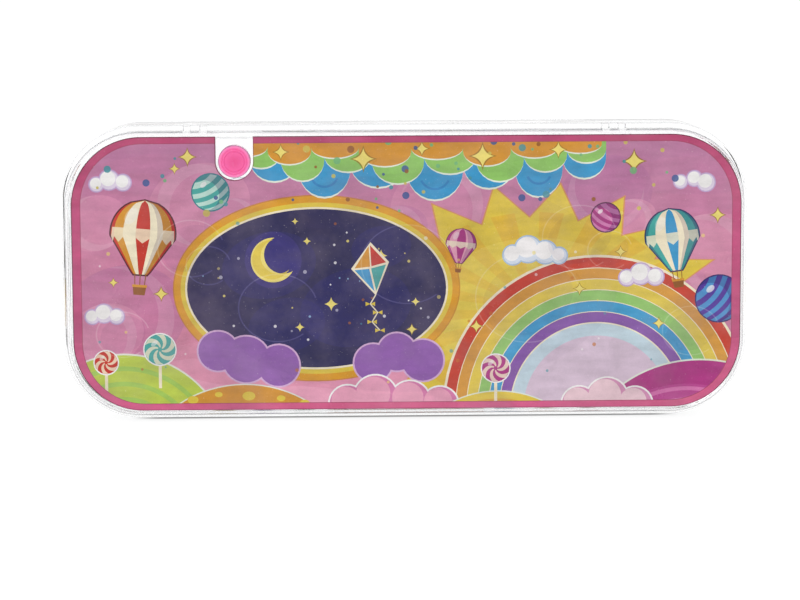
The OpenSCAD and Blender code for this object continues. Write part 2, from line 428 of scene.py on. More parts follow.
def striped_ball(A, x, y, r, c1, c2, line, rot=0.4, bands=4):
    A.disc(x, y, r + 0.28, line)
    A.disc(x, y, r, c1)
    for k in range(bands):
        f0 = -1 + 2 * (k + 0.25) / bands
        f1 = -1 + 2 * (k + 0.75) / bands
        pts = []
        for f, order in ((f0, 1), (f1, -1)):
            seg = []
            hw = math.sqrt(max(0.0, 1 - f * f))
            for i in range(11):
                q = -1 + 2 * i / 10
                seg.append((q * hw * r, f * r - 0.22 * r * (1 - q * q) * hw))
            pts += seg[::order]
        c, s = math.cos(rot), math.sin(rot)
        A.poly([(x + c * a - s * b, y + s * a + c * b) for a, b in pts], c2)
    A.crescent(x, y, r, math.radians(205), (20, 10, 60), 0.22, fat=0.42)
    A.disc(x - 0.38 * r, y + 0.42 * r, 0.2 * r, WHITE, 0.13 * r, 0.7, 0.75)


def balloon(A, x, y, k, cols, line, rot=0.0):
    """Hot-air balloon with upright gores. k is its scale, 1 for a 9 mm radius."""
    c, s = math.cos(rot), math.sin(rot)

    def put(pts):
        return [(x + k * (c * a - s * b), y + k * (s * a + c * b)) for a, b in pts]

    def envelope(f):
        # f from -1 to 1 picks a line of longitude
        out = []
        for i in range(25):
            t = i / 24
            v = 9 - 20 * t
            if v > -1:
                w = math.sqrt(max(0.0, 1 - ((v) / 9) ** 2)) * 8.6
            else:
                q = (-1 - v) / 10
                w = 8.6 * math.sqrt(1 - (1 / 9) ** 2) * (1 - q) ** 0.9 * (1 - 0.12 * q) + 1.9 * q
            out.append((f * w, v))
        return out
    full = envelope(-1) + envelope(1)[::-1]
    A.poly([(x + (p[0] - x) * 1.05, y + (p[1] - y) * 1.04) for p in put(full)], line)
    n = len(cols)
    for i in range(n):
        f0, f1 = math.sin(math.pi * (i / n - 0.5)), math.sin(math.pi * ((i + 1) / n - 0.5))
        A.poly(put(envelope(f0) + envelope(f1)[::-1]), cols[i])
    # scalloped skirt band
    for i in range(n):
        f0, f1 = math.sin(math.pi * (i / n - 0.5)), math.sin(math.pi * ((i + 1) / n - 0.5))
        m = (f0 + f1) / 2
        A.poly(put([(f0 * 8.3, 1.3), (f1 * 8.3, 1.3), (f1 * 8.45, -1.2), (m * 8.4, -2.6), (f0 * 8.45, -1.2)]), CREAM, 0.85)
    A.poly(put(envelope(0.45) + envelope(1)[::-1]), (30, 10, 60), 0.16)
    A.disc(x + k * (c * -3.4 - s * 4.6), y + k * (s * -3.4 + c * 4.6), 1.5 * k, WHITE, 2.5 * k, rot - 0.5, 0.4)
    # ropes and basket
    for f in (-1.5, 0.0, 1.5):
        A.poly(put([(f - 0.14, -10.9), (f + 0.14, -10.9), (f * 0.85 + 0.12, -14.2), (f * 0.85 - 0.12, -14.2)]), BROWN)
    A.poly(put([(-1.9, -13.9), (1.9, -13.9), (1.5, -16.6), (-1.5, -16.6)]), BROWN)
    A.poly(put([(-2.0, -13.8), (2.0, -13.8), (1.95, -14.5), (-1.95, -14.5)]), ORANGE)


def rear_art(w, h, r):
    rnd = random.Random(11)
    A = Art()
    A.poly(rounded_rect(w + 1, h + 1, r + 0.5), BORDER)
    iw, ih, ir = w - 4.05, h - 3.0, r - 1.8
    # sky: soft wavy bands
    bands = 14
    inner = []
    for k in range(bands):
        t = k / (bands - 1)
        top = ih / 2 - ih * k / bands
        pts = [(-80, -40)]
        for i in range(33):
            u = -80 + 160 * i / 32
            pts.append((u, top + 1.2 * math.sin(u * 0.09 + k * 0.5) + 0.8 * math.sin(u * 0.21 + k)))
        pts.append((80, -40))
        inner.append((pts, lerp(MAUVE, PINK, min(1, t * 1.25)) if t < 0.8 else lerp(PINK, PINK_L, (t - 0.8) * 5)))
    inner[0] = ([(-80, -40), (-80, 40), (80, 40), (80, -40)], MAUVE)
    for pts, col in inner:
        A.poly(pts, col)
    # big soft swirls in the sky
    for x, y, q, col, a in ((-66, -10, 15, MAUVE_D, .30), (-70, -14, 9, PINK_L, .35), (-48, 16, 12, PINK_L, .30),
                            (-40, 12, 7, MAUVE, .4), (70, 2, 14, PINK_L, .38), (62, -6, 9, MAUVE, .30),
                            (46, 18, 11, MAUVE_D, .25), (52, 12, 6, PINK_L, .4), (8, 16, 12, PINK_L, .28),
                            (-2, 10, 7, MAUVE_D, .22), (-72, 12, 8, PINK_L, .3), (74, -18, 9, MAUVE_D, .25)):
        A.disc(x, y, q, col, q * 0.8, 0.3, a)
        A.crescent(x, y, q * 0.8, rnd.uniform(0, TAU), WHITE, 0.12, fat=0.22)
    # sunburst
    sx, sy = 30, -9
    pts = []
    for i in range(36):
        q = 41 if i % 2 == 0 else 30
        t = i * TAU / 36 + 0.05
        pts.append((sx + q * 1.08 * math.cos(t), sy + q * 0.72 * math.sin(t)))
    A.poly([(sx + (p[0] - sx) * 1.02, sy + (p[1] - sy) * 1.02) for p in pts], AMBER, 0.6)
    A.poly(pts, YELLOW)
    for i in range(18):
        t0, t1 = (i - 0.2) * TAU / 18 + 0.05, (i + 0.3) * TAU / 18 + 0.05
        A.poly([(sx, sy), (sx + 33 * math.cos(t0), sy + 23 * math.sin(t0)), (sx + 33 * math.cos(t1), sy + 23 * math.sin(t1))], AMBER, 0.34)
    A.disc(sx, sy, 25, YELLOW_L, 17, 0, 0.28)
    # night oval with a moon
    ox, oy, ow, oh = -21, -3.5, 30, 18.5
    A.disc(ox, oy, ow + 3.3, OCHRE, oh + 3.3, a=0.8)
    A.disc(ox, oy, ow + 3.0, AMBER, oh + 3.0)
    A.disc(ox, oy, ow + 1.5, YELLOW, oh + 1.5)
    A.disc(ox, oy, ow + 0.45, CREAM, oh + 0.45)
    A.disc(ox, oy, ow, NAVY, oh)
    for x, y, q, a in ((-32, 2, 11, .35), (-12, -8, 13, .30), (-6, 6, 7, .3), (-28, -12, 9, .3)):
        A.disc(x, y, q, NAVY_L, q * 0.7, 0.2, a)
    A.disc(-31, 3.2, 6.6, (150, 140, 190), a=0.22)
    A.crescent(-31, 3.2, 5.2, math.radians(28), YELLOW_L, fat=0.5)
    A.crescent(-31.3, 3.3, 4.6, math.radians(28), YELLOW, 0.8, fat=0.34)
    for _ in range(34):
        t, q = rnd.uniform(0, TAU), math.sqrt(rnd.random()) * 0.9
        x, y = ox + ow * q * math.cos(t), oy + oh * q * math.sin(t)
        if math.hypot(x + 31, y - 3.2) > 7:
            if rnd.random() < 0.3:
                A.sparkle(x, y, rnd.uniform(0.8, 1.7), YELLOW_L)
            else:
                A.disc(x, y, rnd.uniform(0.16, 0.38), rnd.choice((WHITE, YELLOW_L, (150, 190, 220))), a=0.85, n=10)
    # a kite in the night oval
    A.poly([(-8.5, 7.2), (-4.2, 2.6), (-7.3, -5.2), (-13.0, 1.0)], CREAM)
    A.poly([(-8.6, 6.5), (-4.9, 2.5), (-8.3, 1.6)], RED)
    A.poly([(-8.9, 6.3), (-8.6, 1.5), (-12.2, 1.1)], ORANGE)
    A.poly([(-8.4, 1.1), (-4.9, 2.0), (-7.2, -4.2)], TEAL)
    A.poly([(-8.8, 1.0), (-12.2, 0.7), (-7.6, -4.3)], BLUE)
    tail = [(-7.3, -5.0), (-8.6, -7.2), (-6.9, -9.2), (-8.2, -11.4), (-6.4, -13.4)]
    for (x0, y0), (x1, y1) in zip(tail, tail[1:]):
        dx, dy = x1 - x0, y1 - y0
        L = math.hypot(dx, dy)
        nx, ny = -dy / L * 0.13, dx / L * 0.13
        A.poly([(x0 + nx, y0 + ny), (x1 + nx, y1 + ny), (x1 - nx, y1 - ny), (x0 - nx, y0 - ny)], CREAM)
        A.poly([(x1 - 1.1, y1 + 0.5), (x1, y1), (x1 - 1.1, y1 - 0.5)], YELLOW)
        A.poly([(x1 + 1.1, y1 + 0.5), (x1, y1), (x1 + 1.1, y1 - 0.5)], YELLOW)
    # purple clouds along the foot of the oval
    A.puffs([(-44, -18, 4.6), (-37.5, -20, 5.4), (-30, -21.5, 4.8)], (150, 104, 176), (214, 176, 214), 0.4)
    A.puffs([(-2.5, -18.5, 4.4), (-8, -21, 4.4), (3.5, -20.5, 4.8)], (150, 104, 176), (214, 176, 214), 0.4)
    # rainbow
    rx, ry = 44, -32
    r1 = 35.5
    for k, col in enumerate((RED, ORANGE, YELLOW, GREEN, BLUE, PURPLE)):
        q = r1 - k * 2.55
        A.disc(rx, ry, q + (0.4 if k == 0 else 0.0), CREAM)
        A.disc(rx, ry, q - 0.18, lerp(col, WHITE, 0.06))
    A.disc(rx, ry, r1 - 6 * 2.55, CREAM)
    A.disc(rx, ry, r1 - 6 * 2.55 - 0.3, (196, 216, 226))
    A.disc(rx, ry, 17, (224, 190, 210), a=0.75)
    # garland along the top
    A.garland([(-30.5, 5.5, 10.5), (-19.0, 6.0, 14.2), (-6.5, 6.5, 12.0), (6.5, 6.5, 15.0), (19.0, 6.0, 12.4),
               (30.5, 5.5, 14.4), (41.0, 5.0, 10.2)], 32, BLUE, PALE, 0.42)
    for x, y, q in ((-19, 20, 3), (6.5, 19.5, 3.2), (30.5, 20, 2.6)):
        A.arc(x, y + 3.4, q, q + 0.55, math.radians(205), math.radians(335), BLUE_D, 0.5, n=16)
    A.garland([(-33.5, 4.5, 7.4), (-24.0, 5.0, 10.4), (-13.5, 5.5, 8.4), (-2.0, 6.0, 11.2), (10.0, 6.0, 9.0),
               (21.5, 5.5, 10.8), (32.0, 5.0, 8.6), (41.5, 4.5, 6.6)], 32, GREEN, PALE, 0.38)
    A.garland([(-36.0, 4.0, 4.6), (-27.0, 5.0, 6.6), (-16.5, 5.5, 5.2), (-5.0, 6.0, 7.2), (7.0, 6.0, 5.6),
               (18.5, 5.5, 7.2), (29.5, 5.5, 5.4), (40.0, 5.0, 4.4)], 32, ORANGE, PALE, 0.34)
    # hills and clouds along the bottom
    A.disc(-66, -43, 24.6, PALE, a=0.9)
    A.disc(-66, -43, 24.2, LIME)
    for k in range(5):
        A.arc(-66, -43, 20.5 - 3.6 * k, 21.6 - 3.6 * k, 0.2, math.pi - 0.2, GREEN, 0.55)
    A.disc(-38, -50, 26.3, PALE, 24.3, a=0.9)
    A.disc(-38, -50, 26, ORANGE, 24)
    for x, y, q in ((-50, -29.4, 1.3), (-44, -28.2, 0.9), (-37, -28.6, 1.5), (-29.5, -29.2, 1.0), (-24, -30.4, 1.2)):
        A.disc(x, y, q, YELLOW, q * 0.7)
    A.puffs([(-14, -30.5, 4.2), (-7.5, -29.0, 5.0), (0.5, -30.0, 4.6), (7.5, -31.0, 4.2)], PINK_L, WHITE, 0.4, shade=(214, 128, 172))
    A.disc(21, -48, 22.3, PALE, 20.3, a=0.9)
    A.disc(21, -48, 22, YELLOW, 20)
    for k in range(4):
        A.arc(21, -48, 19.6 - 3 * k, 20.4 - 3 * k, 0.3, math.pi - 0.3, AMBER, 0.7, 0.9)
    A.disc(68, -44, 27.4, PALE, 23.4, a=0.9)
    A.disc(68, -44, 27, MAGENTA, 23)
    A.disc(65, -45, 22.5, (190, 84, 150), 18.5, a=0.8)
    for k in range(4):
        A.arc(65, -45, 20.2 - 3.2 * k, 21.3 - 3.2 * k, 0.2, math.pi - 0.2, (222, 132, 184), 0.75, 0.84)
    A.puffs([(40, -31, 4.0), (46.5, -29.8, 4.8), (53, -31.2, 4.0)], (238, 206, 214), WHITE, 0.4, shade=(216, 150, 186))
    # lollipop trees
    for x, y, q, c1, c2 in ((-57.5, -17.5, 3.6, TEAL, CREAM), (-70, -20.5, 2.7, RED, CREAM), (20.5, -22.5, 3.2, MAGENTA, CREAM)):
        A.poly([(x - 0.35, y), (x + 0.35, y), (x + 0.35, y - q - 5.5), (x - 0.35, y - q - 5.5)], CREAM)
        A.disc(x, y, q + 0.3, WHITE)
        A.disc(x, y, q, c1)
        for k in range(6):
            t = k * TAU / 6
            pts = []
            for i in range(8):
                f = i / 7
                pts.append((x + q * f * math.cos(t + f * 1.3), y + q * f * math.sin(t + f * 1.3)))
            for i in range(7, -1, -1):
                f = i / 7
                pts.append((x + q * f * math.cos(t + 0.5 + f * 1.3), y + q * f * math.sin(t + 0.5 + f * 1.3)))
            A.poly(pts[1:-1], c2, 0.85)
        A.disc(x - 0.35 * q, y + 0.4 * q, 0.26 * q, WHITE, 0.14 * q, 0.7, 0.6)
    # balloons and balls
    balloon(A, -61.0, 9.5, 0.86, (RED, ORANGE, CREAM, RED, CREAM, ORANGE, RED), (92, 30, 60), -0.08)
    balloon(A, 61.5, 8.0, 0.72, (TEAL_D, TEAL, CREAM, BLUE, CREAM, TEAL, TEAL_D), (24, 60, 100), 0.14)
    balloon(A, 12.5, 6.6, 0.40, (MAGENTA, PINK_L, MAGENTA, PINK_L, MAGENTA), (110, 30, 90), -0.12)
    striped_ball(A, -45.3, 19.0, 4.2, TEAL, (190, 226, 214), TEAL_D, 0.5, 4)
    striped_ball(A, 46.0, 12.6, 3.3, MAGENTA, (214, 130, 180), (96, 30, 84), -0.5, 4)
    striped_ball(A, 72.5, -6.5, 5.4, (88, 66, 158), (84, 150, 206), (50, 40, 110), 0.9, 5)
    # little clouds
    A.puffs([(24.5, 4.0, 2.2), (28.0, 5.3, 3.0), (32.0, 4.6, 2.6), (35.2, 3.8, 1.8)], WHITE, (170, 196, 220), 0.32, shade=(214, 224, 236))
    A.puffs([(51.0, -1.5, 1.8), (54.2, -0.6, 2.4), (57.6, -1.3, 1.9)], WHITE, (196, 170, 210), 0.3, shade=(226, 214, 232))
    A.puffs([(-71.5, 21.0, 1.6), (-68.6, 22.0, 2.2), (-65.4, 21.4, 1.8)], WHITE, (196, 170, 210), 0.3, shade=(226, 214, 232))
    A.puffs([(66.5, 21.5, 1.7), (69.2, 20.6, 2.0), (63.3, 20.8, 1.5)], WHITE, (196, 170, 210), 0.3, shade=(226, 214, 232))
    A.puffs([(-73.0, -9.8, 1.6), (-70.3, -9.0, 2.1), (-67.4, -9.7, 1.7)], WHITE, (196, 170, 210), 0.3, shade=(226, 214, 232))
    # sparkles and dots
    for x, y, q in ((-29, 28.2, 1.6), (-10, 26.5, 2.5), (3.5, 28.8, 1.5), (17.5, 27.0, 2.6), (35.0, 28.4, 1.7), (-50.5, 27.2, 1.8),
                    (52.5, 25.6, 2.4), (-57, -4.5, 1.5), (-53.5, 24.5, 1.1), (72, 13.0, 1.6), (40, -4.0, 1.3), (1.0, -13.2, 1.2),
                    (16.0, -12.6, 1.4), (49.5, 4.6, 1.2), (-68, -1.8, 1.0), (58.5, -12.2, 1.3)):
        A.sparkle(x, y, q, YELLOW_L, 1.0, (150, 120, 40))
    for _ in range(64):
        x, y = rnd.uniform(-72, 72), rnd.uniform(14, 30.5)
        if abs(x + 39.2) < 6 and y > 18 or math.hypot(x + 61, y - 9.5) < 10 or math.hypot(x - 61.5, y - 8) < 8:
            continue
        q = rnd.choice((0.34, 0.42, 0.5, 0.85))
        col = rnd.choice(((80, 150, 160), BROWN, (70, 96, 150), (120, 184, 130), (206, 190, 96)))
        A.disc(x, y, q, col, a=0.85, n=12)
    for _ in range(46):
        x, y = rnd.uniform(-73, 73), rnd.uniform(-26, 14)
        q = rnd.choice((0.25, 0.34, 0.45))
        A.disc(x, y, q, rnd.choice((YELLOW_L, WHITE, (90, 160, 170), (200, 120, 60))), a=0.6, n=10)
    # faint white outlines, and painted shade: dark soft patches where the picture on the other side shows through the
    # film as shadow, with one wide faint patch over the middle
    for x, y, q in ((-50, 6, 7.5), (-46, 2, 5.0), (40, 8, 8.5), (47, 5, 5.0), (0, 2, 10.5), (66, -14, 6.5), (-66, -14, 6.0), (28, -6, 12), (-30, -8, 9)):
        A.arc(x, y, q, q + 0.32, 0.3, 5.4, WHITE, 0.20, 0.86, 40)
        A.disc(x, y, q * 0.9, (60, 40, 90), q * 0.7, 0.4, 0.055)
    A.disc(0, -2.4, 49, (70, 50, 90), 25.5, a=0.035)
    # border on top
    outer = rounded_rect(w + 1, h + 1, r + 0.5)
    n = len(outer)
    i1 = rounded_rect(iw, ih, ir)
    i2 = rounded_rect(iw - 0.28, ih - 0.28, ir - 0.14)
    o1 = rounded_rect(w - 0.42, h - 0.42, r - 0.21)
    for a, b, col in ((i1, i2, BORDER_IN), (outer, i1, None), (outer, o1, BORDER_RIM)):
        for k in range(n):
            m = (k + 1) % n
            quad = [a[k], a[m], b[m], b[k]]
            f = (a[k][1] + a[m][1]) / h
            c = col or (lerp(BORDER, BORDER_TOP, f) if f > 0 else lerp(BORDER, BORDER_FOOT, -f))
            A.poly(quad, c, 1.0 if f > -0.9 or col != BORDER_RIM else 0.45)
    # painted shadow along the cut edge of the notch, darker on its left side
    gap, q = notch_hole(LABEL_X - PLUG_X, NOTCH_R), notch_hole(LABEL_X - PLUG_X, NOTCH_R + 0.22)
    for k in range(len(gap) - 1):
        x = (gap[k][0] + gap[k + 1][0]) / 2 - (LABEL_X - PLUG_X)
        A.poly([gap[k], gap[k + 1], q[k + 1], q[k]], (112, 48, 66), 0.62 + 0.3 * max(-1.0, min(1.0, -x / NOTCH_R)))
    return A


def front_art(w, h, r):
    """Film round the window: bunting, balloons and hills in the same colours as the back."""
    rnd = random.Random(5)
    A = Art()
    A.poly(rounded_rect(w + 1, h + 1, r + 0.5), BORDER)
    A.poly([(-80, -40), (80, -40), (80, 40), (-80, 40)], (188, 128, 190))
    for k in range(12):
        t = k / 11
        top = 28 - 56 * t
        pts = [(-80, -40)] + [(-80 + 5 * i, top + 1.4 * math.sin(i * 0.5 + k)) for i in range(33)] + [(80, -40)]
        A.poly(pts, lerp((176, 132, 204), (236, 156, 190), t))
    for x, y, q, a in ((-66, 14, 13, .3), (-58, -20, 11, .3), (66, 16, 12, .3), (60, -22, 12, .3), (0, 28, 16, .25)):
        A.disc(x, y, q, PINK_L, q * 0.8, 0.3, a)
        A.crescent(x, y, q * 0.8, rnd.uniform(0, TAU), WHITE, 0.14, fat=0.22)
    # rays behind each button
    for s in (-1, 1):
        bx, by = s * 64, -9
        for i in range(20):
            t0, t1 = i * TAU / 20, (i + 0.5) * TAU / 20
            A.poly([(bx, by), (bx + 15.5 * math.cos(t0), by + 15.5 * math.sin(t0)), (bx + 15.5 * math.cos(t1), by + 15.5 * math.sin(t1))], YELLOW)
        A.disc(bx, by, 13.4, AMBER)
        A.disc(bx, by, 12.6, YELLOW_L)
    # garland along the top
    A.garland([(-62, 5, 8.6), (-51.5, 5.5, 10.2), (-40, 6, 9.0), (-28, 6, 10.2), (-16, 6, 8.6), (-4, 6, 10.2), (8, 6, 8.8), (20, 6, 10.2),
               (32, 6, 8.8), (43.5, 5.5, 10.2), (54, 5, 9.2), (63, 4.5, 7.6)], 32, BLUE, PALE, 0.42)
    A.garland([(-58, 5, 6.6), (-47, 5.5, 7.8), (-35.5, 6, 6.8), (-23.5, 6, 7.8), (-11.5, 6, 6.6), (0.5, 6, 7.8), (12.5, 6, 6.6), (24.5, 6, 7.8),
               (36.5, 6, 6.8), (48, 5.5, 7.8), (58, 4.5, 6.4)], 32, GREEN, PALE, 0.38)
    A.garland([(-54, 5, 4.4), (-43, 6, 5.2), (-31, 6, 4.4), (-19, 6, 5.2), (-7, 6, 4.4), (5, 6, 5.2), (17, 6, 4.4), (29, 6, 5.2),
               (41, 6, 4.4), (52, 5, 5.0)], 32, ORANGE, PALE, 0.34)
    # hills along the bottom
    for x, y, q, col in ((-62, -50, 25, LIME), (-40, -52, 24, ORANGE), (-18, -54, 25.5, MAGENTA), (6, -53, 24.5, YELLOW),
                         (30, -53, 25, (120, 176, 96)), (52, -51, 25, PURPLE), (72, -48, 22, ORANGE)):
        A.disc(x, y, q + 0.35, PALE, a=0.9)
        A.disc(x, y, q, col)
        A.arc(x, y, q - 2.2, q - 1.4, 0.3, math.pi - 0.3, lerp(col, WHITE, 0.35), 0.8)
    A.puffs([(-53, -26.5, 2.6), (-49, -25.4, 3.2), (-45, -26.6, 2.6)], WHITE, (196, 170, 210), 0.3, shade=(226, 214, 232))
    A.puffs([(44, -27.5, 2.4), (48, -26.4, 3.0), (52, -27.4, 2.4)], WHITE, (196, 170, 210), 0.3, shade=(226, 214, 232))
    balloon(A, -61.5, 14.5, 0.62, (RED, ORANGE, CREAM, RED, CREAM, ORANGE, RED), (92, 30, 60), -0.08)
    balloon(A, 62.0, 14.5, 0.62, (TEAL_D, TEAL, CREAM, BLUE, CREAM, TEAL, TEAL_D), (24, 60, 100), 0.10)
    striped_ball(A, -71.5, 2.5, 2.6, TEAL, (190, 226, 214), TEAL_D, 0.5, 4)
    striped_ball(A, 71.5, 3.0, 2.6, MAGENTA, (214, 130, 180), (96, 30, 84), -0.5, 4)
    for x, y, q in ((-54, 10, 1.4), (54, 10, 1.4), (-71, 12, 1.2), (71.5, 12.5, 1.2), (-66, 26.4, 1.6), (66, 26.4, 1.6), (-36, 28.4, 1.6),
                    (-13, 28.2, 2.0), (11, 28.4, 1.6), (35, 28.2, 2.0), (-53.5, -1, 1.0), (53.5, -1, 1.0), (-30, -27.2, 1.4), (18, -27.4, 1.4)):
        A.sparkle(x, y, q, YELLOW_L, 1.0, (150, 120, 40))
    for _ in range(60):
        x, y = rnd.uniform(-73, 73), rnd.choice((rnd.uniform(23, 30.5), rnd.uniform(-30, -24)))
        A.disc(x, y, rnd.choice((0.3, 0.42, 0.6)), rnd.choice(((80, 150, 160), BROWN, (70, 96, 150), (236, 226, 200))), a=0.85, n=10)
    # outline of the window
    for g, col in ((1.9, (120, 50, 130)), (1.5, CREAM), (0.9, BORDER)):
        A.poly(rounded_rect(98.4 + 2 * g, 47.8 + 2 * g, 11.2 + g, cx=0, cy=-2.4), col)
    outer = rounded_rect(w + 1, h + 1, r + 0.5)
    i1 = rounded_rect(w - 3.4, h - 3.4, r - 1.7)
    i2 = rounded_rect(w - 3.9, h - 3.9, r - 1.95)
    n = len(outer)
    for a, b, col in ((i1, i2, BORDER_IN), (outer, i1, BORDER)):
        for k in range(n):
            m = (k + 1) % n
            A.poly([a[k], a[m], b[m], b[k]], col)
    return A


def scene_art(w, h, r):
    """The picture behind the tank: a bright sky over hills, with strings of bubbles."""
    rnd = random.Random(23)
    A = Art()
    A.poly([(-80, -40), (80, -40), (80, 40), (-80, 40)], (104, 178, 238))
    cols = ((112, 184, 242), (124, 192, 244), (138, 200, 246), (154, 208, 248), (170, 216, 249), (188, 222, 249), (208, 228, 248),
            (228, 232, 244), (244, 234, 236), (252, 232, 222), (255, 230, 204))
    for k, col in enumerate(cols):
        top = 26 - 46 * k / (len(cols) - 1)
        pts = [(-80, -40)] + [(-80 + 4 * i, top + 1.8 * math.sin(i * 0.33 + k * 0.7) + 0.9 * math.sin(i * 0.8 + k)) for i in range(41)] + [(80, -40)]
        A.poly(pts, col)
    # sun
    A.disc(30, 13, 8.8, (255, 248, 200), a=0.45)
    A.disc(30, 13, 6.8, (255, 232, 120))
    A.crescent(30, 13, 6.8, math.radians(200), (255, 204, 84), 0.7, fat=0.4)
    for _ in range(90):
        x, y = rnd.uniform(-76, 76), rnd.uniform(-6, 30)
        if math.hypot(x - 30, y - 13) < 9:
            continue
        if rnd.random() < 0.22:
            A.sparkle(x, y, rnd.uniform(0.9, 2.0), YELLOW_L)
        else:
            A.disc(x, y, rnd.uniform(0.18, 0.42), rnd.choice((WHITE, YELLOW_L, (160, 200, 230))), a=0.9, n=10)
    # clouds
    for x, y, k in ((-34, 12, 1.0), (8, 3, 0.8), (46, 0, 0.9), (-60, 2, 0.8), (-10, 20, 0.6)):
        A.puffs([(x - 6 * k, y, 2.8 * k), (x - 2 * k, y + 1.6 * k, 4.0 * k), (x + 3 * k, y + 0.8 * k, 3.4 * k), (x + 7 * k, y - 0.4 * k, 2.4 * k)],
                (252, 244, 250), (186, 160, 214), 0.35, shade=(230, 208, 238))
    # rows of hills
    for x, y, q, col in ((-70, -34, 26, (168, 160, 232)), (-36, -40, 28, (196, 164, 232)), (2, -38, 27, (168, 164, 234)), (40, -40, 28, (196, 164, 232)), (72, -34, 24, (168, 160, 232))):
        A.disc(x, y, q + 0.3, (222, 206, 244), a=0.8)
        A.disc(x, y, q, col)
    for x, y, q, col in ((-58, -46, 28, (92, 198, 176)), (-18, -50, 31, (130, 214, 128)), (24, -48, 28, (92, 198, 176)), (62, -50, 32, (130, 214, 128))):
        A.disc(x, y, q + 0.35, PALE, a=0.8)
        A.disc(x, y, q, col)
        for k in range(4):
            A.arc(x, y, q - 3 - 4 * k, q - 2.2 - 4 * k, 0.3, math.pi - 0.3, lerp(col, WHITE, 0.25), 0.6)
    for x, y, q, c1 in ((-44, -16, 3.2, MAGENTA), (-36, -17.5, 2.4, ORANGE), (38, -17, 3.0, RED), (45, -15.6, 2.3, TEAL), (-3, -17.5, 2.2, YELLOW)):
        A.poly([(x - 0.3, y), (x + 0.3, y), (x + 0.3, y - q - 4.5), (x - 0.3, y - q - 4.5)], CREAM)
        A.disc(x, y, q + 0.3, WHITE)
        A.disc(x, y, q, c1)
        for k in range(6):
            t = k * TAU / 6
            pts = [(x + q * f * math.cos(t + f * 1.3), y + q * f * math.sin(t + f * 1.3)) for f in [i / 7 for i in range(1, 8)]]
            pts += [(x + q * f * math.cos(t + 0.5 + f * 1.3), y + q * f * math.sin(t + 0.5 + f * 1.3)) for f in [i / 7 for i in range(7, 0, -1)]]
            A.poly(pts, CREAM, 0.85)
    # strings of bubbles
    for x0 in (-22, -4, 17, 50, -52):
        for k in range(7):
            x, y, q = x0 + 1.6 * math.sin(k * 1.7 + x0), -20 + k * 6.2, 0.9 + 0.25 * math.sin(k * 2.1 + x0)
            A.arc(x, y, q * 0.82, q, 0, TAU * 0.999, (226, 244, 250), 0.55, n=18)
            A.disc(x - 0.3 * q, y + 0.35 * q, 0.22 * q, WHITE, a=0.8, n=8)
    # a faint painted shade along the bottom of the picture
    A.poly([(-80, -40), (80, -40), (80, -27.5), (-80, -27.5)], (70, 60, 130), 0.10)
    # a plain pink edge, which the front film hides from the player
    outer = rounded_rect(w + 1, h + 1, r + 0.5)
    inner = rounded_rect(w - 8, h - 8, r - 4)
    n = len(outer)
    for k in range(n):
        m = (k + 1) % n
        A.poly([outer[k], outer[m], inner[m], inner[k]], (250, 186, 212))
    return A


# ---------------------------------------------------------------- materials
class Mat:
    """A node material. Noise is laid in the piece's own coordinates, in metres."""

    def __init__(self, name):
        self.m = bpy.data.materials.new(name)
        self.m.use_nodes = True
        self.nt = self.m.node_tree
        self.nt.nodes.clear()
        self.out = self.nt.nodes.new("ShaderNodeOutputMaterial")
        self.v = self.nt.nodes.new("ShaderNodeTexCoord").outputs["Object"]

    def add(self, kind, ins=None, **props):
        n = self.nt.nodes.new(kind)
        for k, v in props.items():
            setattr(n, k, v)
        for k, v in (ins or {}).items():
            if isinstance(v, bpy.types.NodeSocket):
                self.nt.links.new(v, n.inputs[k])
            else:
                n.inputs[k].default_value = v
        return n

    def noise(self, scale, detail=3.0, rough=0.5, distort=0.0, v=None):
        return self.add("ShaderNodeTexNoise", {"Vector": v or self.v, "Scale": scale, "Detail": detail,
                                               "Roughness": rough, "Distortion": distort}).outputs[0]

    def stretched(self, turn, scale, detail=2.0):
        """Noise drawn out into fine streaks."""
        m = self.add("ShaderNodeMapping", {"Vector": self.v, "Rotation": turn, "Scale": scale})
        return self.noise(1.0, detail, v=m.outputs[0])

    def span(self, x, a, b, c=0.0, d=1.0, smooth=False):
        return self.add("ShaderNodeMapRange", {"Value": x, "From Min": a, "From Max": b, "To Min": c, "To Max": d},
                        interpolation_type="SMOOTHSTEP" if smooth else "LINEAR").outputs[0]

    def calc(self, op, a, b=0.0, c=None):
        n = self.add("ShaderNodeMath", operation=op)
        for i, x in enumerate((a, b) if c is None else (a, b, c)):
            if isinstance(x, bpy.types.NodeSocket):
                self.nt.links.new(x, n.inputs[i])
            else:
                n.inputs[i].default_value = x
        return n.outputs[0]

    def mix(self, fac, a, b, how="MIX"):
        n = self.add("ShaderNodeMix", data_type="RGBA", blend_type=how)
        for i, x in ((0, fac), (6, a), (7, b)):
            if isinstance(x, bpy.types.NodeSocket):
                self.nt.links.new(x, n.inputs[i])
            else:
                n.inputs[i].default_value = x if i == 0 else tuple(x) + (1.0,) * (4 - len(x))
        return n.outputs[2]

    def bump(self, height, distance, strength=1.0, normal=None):
        ins = {"Height": height, "Distance": distance, "Strength": strength}
        if normal is not None:
            ins["Normal"] = normal
        return self.add("ShaderNodeBump", ins).outputs[0]

    def principled(self, **ins):
        p = self.add("ShaderNodeBsdfPrincipled")
        for k, v in ins.items():
            s = p.inputs[k.replace("_", " ").replace("IORl", "IOR L")]
            if isinstance(v, bpy.types.NodeSocket):
                self.nt.links.new(v, s)
            elif s.type == "RGBA":
                s.default_value = tuple(v) + (1.0,) * (4 - len(v))
            else:
                s.default_value = v
        return p.outputs[0]

    def end(self, shader):
        self.nt.links.new(shader, self.out.inputs[0])
        return self.m


def lin(c):
    """A colour given as 0 to 255, in linear light."""
    return tuple((x / 255 / 12.92) if x <= 10.31 else ((x / 255 + 0.055) / 1.055) ** 2.4 for x in c)


